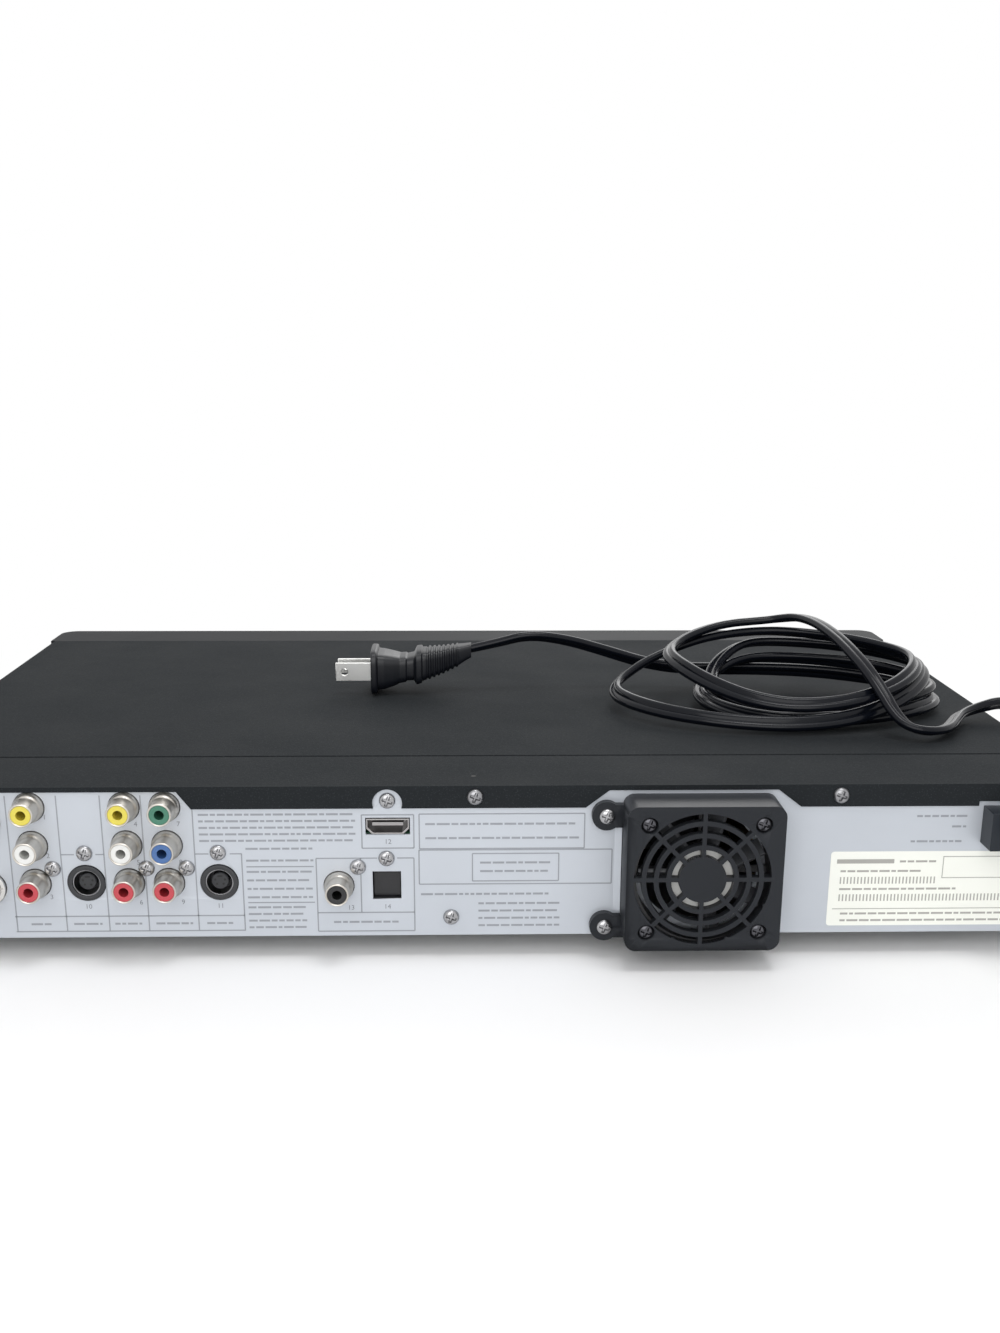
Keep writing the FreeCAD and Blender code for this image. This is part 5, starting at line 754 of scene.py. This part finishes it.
class RECORDER_OT_print(bpy.types.Operator):
    """Prints ruled lines, strokes and plain numbers on the rear panel, and sticks a bare label on it"""
    bl_idname = "recorder.panel_print"
    bl_label = "Panel print"

    def execute(self, context):
        colours = context.scene.recorder_colours
        random = np.random.default_rng(7)
        ink = finish("panel_ink", colours.ink, 0.6, grain=1.0, height=0.02)
        pale = tuple(INK_SHARE * a + (1 - INK_SHARE) * b for a, b in zip(colours.ink, colours.panel))
        pale_ink = finish("panel_pale_ink", pale, 0.6, grain=1.0, height=0.02)
        half = RULE / 2
        sides = [(x, low, high) for left, right, low, high in FRAMES for x in (left, right)]
        bars = [(z, left, right) for left, right, low, high in FRAMES for z in (low, high)]
        lines = [on_panel(x - half, x + half, low, high) for x, low, high in UPRIGHTS + sides]
        lines += [on_panel(left, right, z - half, z + half) for z, left, right in LEVELS + bars]
        shaped("panel_rules", lines, pale_ink)
        strokes = [on_panel(*bar) for block in STROKES for bar in stroke_rows(*block, random)]
        shaped("panel_strokes", strokes, pale_ink)
        numbers = [figures(str(i), *place) for i, place in enumerate(NUMBERS, 1)]
        shaped("panel_numbers", numbers, ink)
        points, faces = on_panel(*STEP, proud=STEP_HIGH)
        foot = (points[:, 0] > -STEP_MIDDLE * MM) & (points[:, 1] > PANEL_Y)
        points[foot, 1] = PANEL_Y + STEP_FOOT * MM
        paint = bpy.data.materials["panel_paint_finish"]
        shaped("panel_step", [(points, faces)], paint)
        film = finish("label_film", colours.label, 0.38, grain=2.0, height=0.03, cloud=0.03)
        low, high = on_panel(*LABEL, proud=LABEL_HIGH)[0][[0, -1]]
        shaped("rating_label", [rounded_plate(low, high, LABEL_CORNER * MM)], film)
        rules = LABEL_RULES + [bar for block in LABEL_STROKES for bar in stroke_rows(*block, random)]
        ticks = [(x, x + TICK_WIDE, low, low + TICK_HIGH) for low, end in TICK_ROWS
                 for x in np.arange(TICKS_FROM, end, TICK_PITCH)]
        label_print = [on_panel(*bar, proud=LABEL_HIGH + 0.03, behind=-LABEL_HIGH + 0.01)
                       for bar in [*rules, *ticks]]
        shaped("label_rules", label_print, finish("label_ink", (0.36, 0.355, 0.33), 0.6))
        return {"FINISHED"}


# Rear sockets

INSERTS = {"rca_yellow": ("insert_yellow", (0.66, 0.56, 0.07)),
           "rca_white": ("insert_white", (0.70, 0.70, 0.68)),
           "rca_red": ("insert_red", (0.48, 0.045, 0.06)),
           "rca_green": ("insert_green", (0.04, 0.17, 0.11)),
           "rca_blue": ("insert_blue", (0.05, 0.13, 0.33))}
# The S-video sockets' middles, their pins and key from there, and how deep the insulator and the painted
# shade of its holes lie.
SVIDEO = [(136.8, 28.6), (90.3, 28.6)]
PINS = [(-1.7, 0.5), (1.7, 0.5), (-1.15, -1.1), (1.15, -1.1)]
PIN_RADIUS, KEY_HALF, KEY_FROM, KEY_TO = 0.42, 0.9, 1.5, 2.1
CORE_Y, HOLE_SHADE_Y, HOLE_SHADE_HIGH = SEAT - 1.6, SEAT - 1.36, 0.03


def mini_din_core(x, z):
    """The insulator inside an S-video socket: a disc with an eased edge on a stem."""
    return turned([(3.1, -5.4), (3.1, 0), (2.8, 0.25)], (x, CORE_Y, z), "y", 40)


def mini_din_marks(x, z):
    """Painted shade on that insulator: a dark round mark for each pin's hole and a dark block for the key's
    slot, in place of the shade inside them.
    """
    pins = [turned([(PIN_RADIUS, 0), (PIN_RADIUS, HOLE_SHADE_HIGH)], (x + across, HOLE_SHADE_Y, z + up), "y", 16)
            for across, up in PINS]
    low, high = np.array([(x - KEY_HALF, HOLE_SHADE_Y, z + KEY_FROM),
                          (x + KEY_HALF, HOLE_SHADE_Y + HOLE_SHADE_HIGH, z + KEY_TO)]) * MM
    return [*pins, slab(low, high)]


class RECORDER_OT_sockets(bpy.types.Operator):
    """Dresses the jacks, the sockets and the aerial connectors on the rear panel"""
    bl_idname = "recorder.sockets"
    bl_label = "Rear sockets"

    def execute(self, context):
        black = plastic("socket_plastic", (0.022, 0.023, 0.026), 0.42)
        nickel = plated("jack_nickel", (0.60, 0.57, 0.52), 0.32)
        dressed("rca_shells", nickel, 0.35)
        for node, (name, colour) in INSERTS.items():
            dressed(node, plastic(name, colour, 0.34, grain=0.8, height=0.03, coat=0.2), 0.15)
        dressed("coaxial_insert", plastic("insert_black", (0.015, 0.015, 0.016), 0.4), 0.15)
        for node in ("rca_blocks", "svideo_sockets", "digital_audio_block"):
            dressed(node, black, 0.2)
        dressed("optical_shutter", plastic("shutter_plastic", (0.012, 0.012, 0.014), 0.25), 0.1)
        dressed("svideo_shields", plated("shield_tin", (0.34, 0.34, 0.35), 0.3), 0.08)
        dressed("hdmi_socket", plated("socket_steel", (0.34, 0.33, 0.33), 0.34), 0.1)
        dressed("tuner_can", rolled_steel("tuner_tinplate", (0.6, 0.6, 0.6), 0.28), 0.2)
        shaped("svideo_cores", [mini_din_core(x, z) for x, z in SVIDEO], black)
        # Painted shade: dark marks on the insulators where the pins' holes and the key's slot are.
        hole_shade_marks = [mark for x, z in SVIDEO for mark in mini_din_marks(x, z)]
        shaped("svideo_hole_shade", hole_shade_marks, plastic("painted_hole_shade", (0.004, 0.004, 0.004), 0.6))
        dressed("antenna_connectors", plated("aerial_nickel", (0.66, 0.65, 0.63), 0.24), 0.2)
        return {"FINISHED"}


# Fan

# The middle of the mark on the rotor's hub, in millimetres.
HUB = (-78.75, 150.5, 34.35)


class RECORDER_OT_fan(bpy.types.Operator):
    """Dresses the fan's housing, frame and rotor, and marks its hub"""
    bl_idname = "recorder.fan"
    bl_label = "Fan"

    def execute(self, context):
        colours = context.scene.recorder_colours
        dressed("fan_housing", plastic("fan_housing_plastic", colours.fan, 0.36, grain=0.4, height=0.1,
                                       dust=0.01, specular=0.12), 0)
        dressed("fan_frame", plastic("fan_frame_plastic", (0.02, 0.02, 0.022), 0.5), 0.2)
        dressed("fan_rotor", plastic("fan_blade_plastic", (0.075, 0.078, 0.085), 0.35), 0.15)
        sticker = turned([(11.6, -0.05), (11.6, 0.03), (8.0, 0.05)], HUB, "y", 64)
        paper = finish("sticker_paper", (0.62, 0.62, 0.60), 0.5, grain=1.0, height=0.02)
        shaped("fan_hub_sticker", [sticker], paper, body="fan_rotor")
        return {"FINISHED"}


# Front

SIGN_PROUD = 0.05


def icon(outline, centre, high, y):
    """A flat raised sign on a button's face: each outline point times the sign's height, plus its centre."""
    flat = np.asarray(outline, float) * high + np.asarray(centre)
    count = len(flat)
    front = np.stack([flat[:, 0], np.full(count, y - SIGN_PROUD), flat[:, 1]], -1)
    back = front + [0, 2 * SIGN_PROUD, 0]
    return np.concatenate([front, back]) * MM, tube_faces(2, count, flipped=True)


def ring_outline():
    """A round sign's outline: half the cosine and half the sine of equal turns."""
    angle = np.linspace(0, 2 * math.pi, 28, endpoint=False)
    return np.stack([np.cos(angle), np.sin(angle)], -1) * 0.5


PLAY = [(-0.4, -0.5), (0.5, 0.0), (-0.4, 0.5)]
SQUARE = [(-0.42, -0.42), (0.42, -0.42), (0.42, 0.42), (-0.42, 0.42)]
WEDGE = [(-0.5, -0.1), (0.5, -0.1), (0.0, 0.5)]
BAR = [(-0.5, -0.42), (0.5, -0.42), (0.5, -0.25), (-0.5, -0.25)]
UPRIGHT = [(-0.09, 0.0), (0.09, 0.0), (0.09, 0.62), (-0.09, 0.62)]
# Each button's signs, and their height as a share of the button's.
SIGNS = {"stop_button": ([SQUARE], 0.4), "play_button": ([PLAY], 0.4),
         "record_button": ([ring_outline()], 0.4), "eject_button": ([WEDGE, BAR], 0.4),
         "power_button": ([UPRIGHT], 0.3)}
# Rings round the sockets behind the flap: how far across, with their finish and their slot.
RINGS = {"front_yellow_ring": (89.0, "insert_yellow", "jack_yellow"),
         "front_white_ring": (106.0, "insert_white", "jack_white"),
         "front_red_ring": (123.0, "insert_red", "jack_red")}
RING_Y, RING_Z = -146.35, 28.0
RING_SECTION = [(2.2, -0.12), (3.7, -0.12), (3.7, 0.3), (2.2, 0.3)]


class RECORDER_OT_front(bpy.types.Operator):
    """Dresses the front: bezel, window, flap, buttons with their signs, and the sockets behind the flap"""
    bl_idname = "recorder.front"
    bl_label = "Front"

    def execute(self, context):
        colours = context.scene.recorder_colours
        gloss = finish("bezel_gloss", colours.bezel, 0.5, grain=2.5, height=0.015, cloud=0.03, specular=0.07)
        dressed("front_bezel", gloss, 0.6)
        dressed("tray_fascia", gloss, 0.35)
        dressed("front_flap", gloss, 0.3)
        dressed("display_window", window_glass((0.006, 0.008, 0.012)), 0.4)
        dressed("display_module", plastic("display_glass", (0.06, 0.07, 0.07), 0.25), 0.2)
        silver = finish("button_silver", colours.button, 0.32, metal=0.7, grain=0.4, height=0.05, cloud=0.04)
        ink = finish("button_ink", (0.03, 0.03, 0.033), 0.5, grain=0.8, height=0.02)
        for node, (outlines, share) in SIGNS.items():
            low, high = (np.asarray(corner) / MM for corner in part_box(node))
            dressed(node, silver, 0.45)
            centre = ((low[0] + high[0]) / 2, (low[2] + high[2]) / 2)
            signs = [icon(outline, centre, (high[2] - low[2]) * share, low[1]) for outline in outlines]
            shaped(node + "_sign", signs, ink, body=node)
        dressed("front_sockets", plastic("front_socket_plastic", (0.03, 0.031, 0.034), 0.45), 0.2)
        for name, (x, material, slot) in RINGS.items():
            ring = turned(RING_SECTION, (x, RING_Y, RING_Z), "y", 40, closed=True)
            shaped(name, [ring], bpy.data.materials[material + "_finish"])
        return {"FINISHED"}


# Inside

class RECORDER_OT_drive(bpy.types.Operator):
    """Dresses the disc drive: frame, tray, gear, motors, sled and clamp"""
    bl_idname = "recorder.drive"
    bl_label = "Disc drive"

    def execute(self, context):
        steel = rolled_steel("drive_steel", (0.50, 0.51, 0.52), 0.32)
        white = plastic("gear_acetal", (0.72, 0.71, 0.66), 0.4, grain=0.8, height=0.04)
        black = plastic("tray_plastic", (0.016, 0.016, 0.018), 0.45)
        dress_all([("clamp_bridge", steel, 0.15),
                   ("drive_frame", plastic("drive_plastic", (0.035, 0.036, 0.04), 0.55), 0.3),
                   ("disc_tray", black, 0.3), ("loading_gear", white, 0), ("clamper", white, 0.2),
                   ("drive_motors", plated("motor_steel", (0.52, 0.52, 0.52), 0.34), 0.3),
                   ("turntable", black, 0.25),
                   ("pickup_sled", plated("sled_zinc", (0.30, 0.31, 0.33), 0.42), 0.25),
                   ("guide_rods", plated("rod_steel", (0.62, 0.62, 0.63), 0.15), 0.1),
                   ("lead_screw", plated("screw_steel", (0.5, 0.5, 0.51), 0.22), 0)])
        return {"FINISHED"}


class RECORDER_OT_boards(bpy.types.Operator):
    """Dresses the circuit boards and what stands on them"""
    bl_idname = "recorder.boards"
    bl_label = "Boards"

    def execute(self, context):
        green = board_finish("board_green", (0.01, 0.09, 0.04), (0.006, 0.05, 0.024))
        tan = board_finish("board_tan", (0.30, 0.19, 0.08), (0.42, 0.30, 0.12))
        dress_all([("front_board", green, 0), ("main_board", green, 0), ("digital_board", green, 0),
                   ("power_board", tan, 0),
                   ("board_chips", plastic("chip_resin", (0.018, 0.018, 0.02), 0.5), 0.15),
                   ("heat_sink", plated("sink_aluminium", (0.56, 0.57, 0.58), 0.4), 0.1),
                   ("transformer", plastic("core_ferrite", (0.07, 0.07, 0.075), 0.6), 0.4),
                   ("capacitors", finish("sleeve_blue", (0.02, 0.03, 0.13), 0.3, grain=1.0, height=0.03,
                                         coat=0.3), 0.4)])
        return {"FINISHED"}


# Stage

# Where the camera stands, its sensor's width in mm, its upward shift and the nearest that it sees.
CAMERA_AT, SENSOR, RAISED, NEAREST = (0.004636, 0.61040, 0.206457), 36.0, 0.10015, 0.01
# Each lamp's name, place, the point that it looks at, its size and its share of the key lamp's power.
LAMPS = [("overhead", (-0.15, 0.25, 1.4), (0, 0, 0), 0.5, 0.75),
         ("behind", (0.15, 1.1, 0.5), (0, 0.1, 0.03), 0.9, 0.72),
         ("front", (-0.4, -1.3, 0.9), (0, -0.1, 0.05), 0.9, 0.7)]
WHITE = (1, 1, 1, 1)
FLOOR_HALF, FLOOR_LOW, FLOOR_TOP = 6, -0.02, -0.0002
PAPER, PAPER_ROUGHNESS = (0.93, 0.93, 0.935, 1), 0.75
# How far from the middle the floor begins to look like the world, and from where it looks just like it.
WHITE_FROM, WHITE_FULL = 0.225, 0.52
# How strong the world is as light, beside how strong it looks.
WORLD_LIGHT = 0.68


def stand_camera(scene, sizes):
    """Puts the camera in its place: it is turned level, tipped down and then rolled."""
    data = bpy.data.cameras.new("camera")
    data.lens, data.sensor_width, data.sensor_fit = sizes.lens, SENSOR, "AUTO"
    data.shift_y, data.clip_start = RAISED, NEAREST
    camera = bpy.data.objects.new("camera", data)
    look = (Matrix.Rotation(math.pi - sizes.yaw, 4, "Z") @ Matrix.Rotation(math.pi / 2 - sizes.pitch, 4, "X")
            @ Matrix.Rotation(sizes.roll, 4, "Z"))
    camera.matrix_world = Matrix.Translation(CAMERA_AT) @ look
    scene.collection.objects.link(camera)
    scene.camera = camera


def hang_lamps(scene, power):
    """Hangs the square soft boxes, each turned to the point that it looks at."""
    for name, place, aim, size, share in LAMPS:
        lamp = bpy.data.lights.new(name, "AREA")
        lamp.shape, lamp.size, lamp.energy = "SQUARE", size, power * share
        holder = bpy.data.objects.new(name, lamp)
        away = Vector(place) - Vector(aim)
        holder.matrix_world = Matrix.Translation(place) @ away.to_track_quat("Z", "Y").to_matrix().to_4x4()
        scene.collection.objects.link(holder)


def seen_directly(tree):
    """One for the rays of the camera, of reflections and of glass, and nothing for the others."""
    ray = linked(tree, "LightPath").outputs
    seen = worked(tree, "MAXIMUM", ray["Is Camera Ray"], ray["Is Glossy Ray"])
    return worked(tree, "MAXIMUM", seen, ray["Is Transmission Ray"])


def floor_paper():
    """Pale paper that looks like the white world from some way off."""
    made = bpy.data.materials.new("floor_paper")
    made.use_nodes = True
    tree = made.node_tree
    paper = fed(tree, tree.nodes["Principled BSDF"], {"Base Color": PAPER, "Roughness": PAPER_ROUGHNESS})
    glow = linked(tree, "Emission", {"Color": WHITE, "Strength": 1.0})
    away = linked(tree, "VectorMath", {0: object_place(tree)}, operation="LENGTH").outputs["Value"]
    far = ranged(tree, away, WHITE_FROM, WHITE_FULL, interpolation_type="SMOOTHSTEP")
    share = worked(tree, "MULTIPLY", far, seen_directly(tree))
    blend = linked(tree, "MixShader", {0: share, 1: paper.outputs[0], 2: glow.outputs[0]})
    fed(tree, tree.nodes["Material Output"], {"Surface": blend.outputs[0]})
    return made


def white_world():
    """A white world that lights a little less than it shows."""
    made = bpy.data.worlds.new("studio")
    made.use_nodes = True
    tree = made.node_tree
    strength = ranged(tree, seen_directly(tree), 0.0, 1.0, WORLD_LIGHT, 1.0)
    fed(tree, tree.nodes["Background"], {"Color": WHITE, "Strength": strength})
    return made


class RECORDER_OT_stage(bpy.types.Operator):
    """Sets the camera, the lamps, the floor and the world"""
    bl_idname = "recorder.stage"
    bl_label = "Stage"

    def execute(self, context):
        scene, sizes = context.scene, context.scene.recorder_stage
        stand_camera(scene, sizes)
        hang_lamps(scene, sizes.key)
        points, faces = slab((-FLOOR_HALF, -FLOOR_HALF, FLOOR_LOW), (FLOOR_HALF, FLOOR_HALF, FLOOR_TOP))
        mesh = bpy.data.meshes.new("floor")
        mesh.from_pydata(points.tolist(), [], faces)
        floor = bpy.data.objects.new("floor", mesh)
        scene.collection.objects.link(floor)
        mesh.materials.append(floor_paper())
        scene.world = white_world()
        scene.view_settings.view_transform = "Standard"
        return {"FINISHED"}


class RECORDER_PT_panel(bpy.types.Panel):
    """The recorder's colours, cord and stage"""
    bl_label = "Recorder"
    bl_idname = "RECORDER_PT_panel"
    bl_space_type = "VIEW_3D"
    bl_region_type = "UI"
    bl_category = "Recorder"

    def draw(self, context):
        scene = context.scene
        for settings in (scene.recorder_colours, scene.recorder_cord, scene.recorder_stage):
            box = self.layout.box()
            for key in settings.bl_rna.properties.keys():
                if key not in {"rna_type", "name"}:
                    box.prop(settings, key)
        for operator in OPERATORS:
            self.layout.operator(operator.bl_idname)


OPERATORS = (RECORDER_OT_stage, RECORDER_OT_cord, RECORDER_OT_case, RECORDER_OT_print,
             RECORDER_OT_sockets, RECORDER_OT_fan, RECORDER_OT_front, RECORDER_OT_drive, RECORDER_OT_boards)
SETTINGS = {"recorder_colours": RecorderColours, "recorder_cord": RecorderCord,
            "recorder_stage": RecorderStage}
CLASSES = (*SETTINGS.values(), *OPERATORS, RECORDER_PT_panel)


def register():
    for kind in CLASSES:
        bpy.utils.register_class(kind)
    for name, kind in SETTINGS.items():
        setattr(bpy.types.Scene, name, PointerProperty(type=kind))


def unregister():
    for name in SETTINGS:
        delattr(bpy.types.Scene, name)
    for kind in reversed(CLASSES):
        bpy.utils.unregister_class(kind)


def main():
    """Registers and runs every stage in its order."""
    register()
    bpy.ops.recorder.stage()
    bpy.ops.recorder.cord()
    bpy.ops.recorder.case()
    bpy.ops.recorder.panel_print()
    bpy.ops.recorder.sockets()
    bpy.ops.recorder.fan()
    bpy.ops.recorder.front()
    bpy.ops.recorder.drive()
    bpy.ops.recorder.boards()


if __name__ == "__main__":
    main()
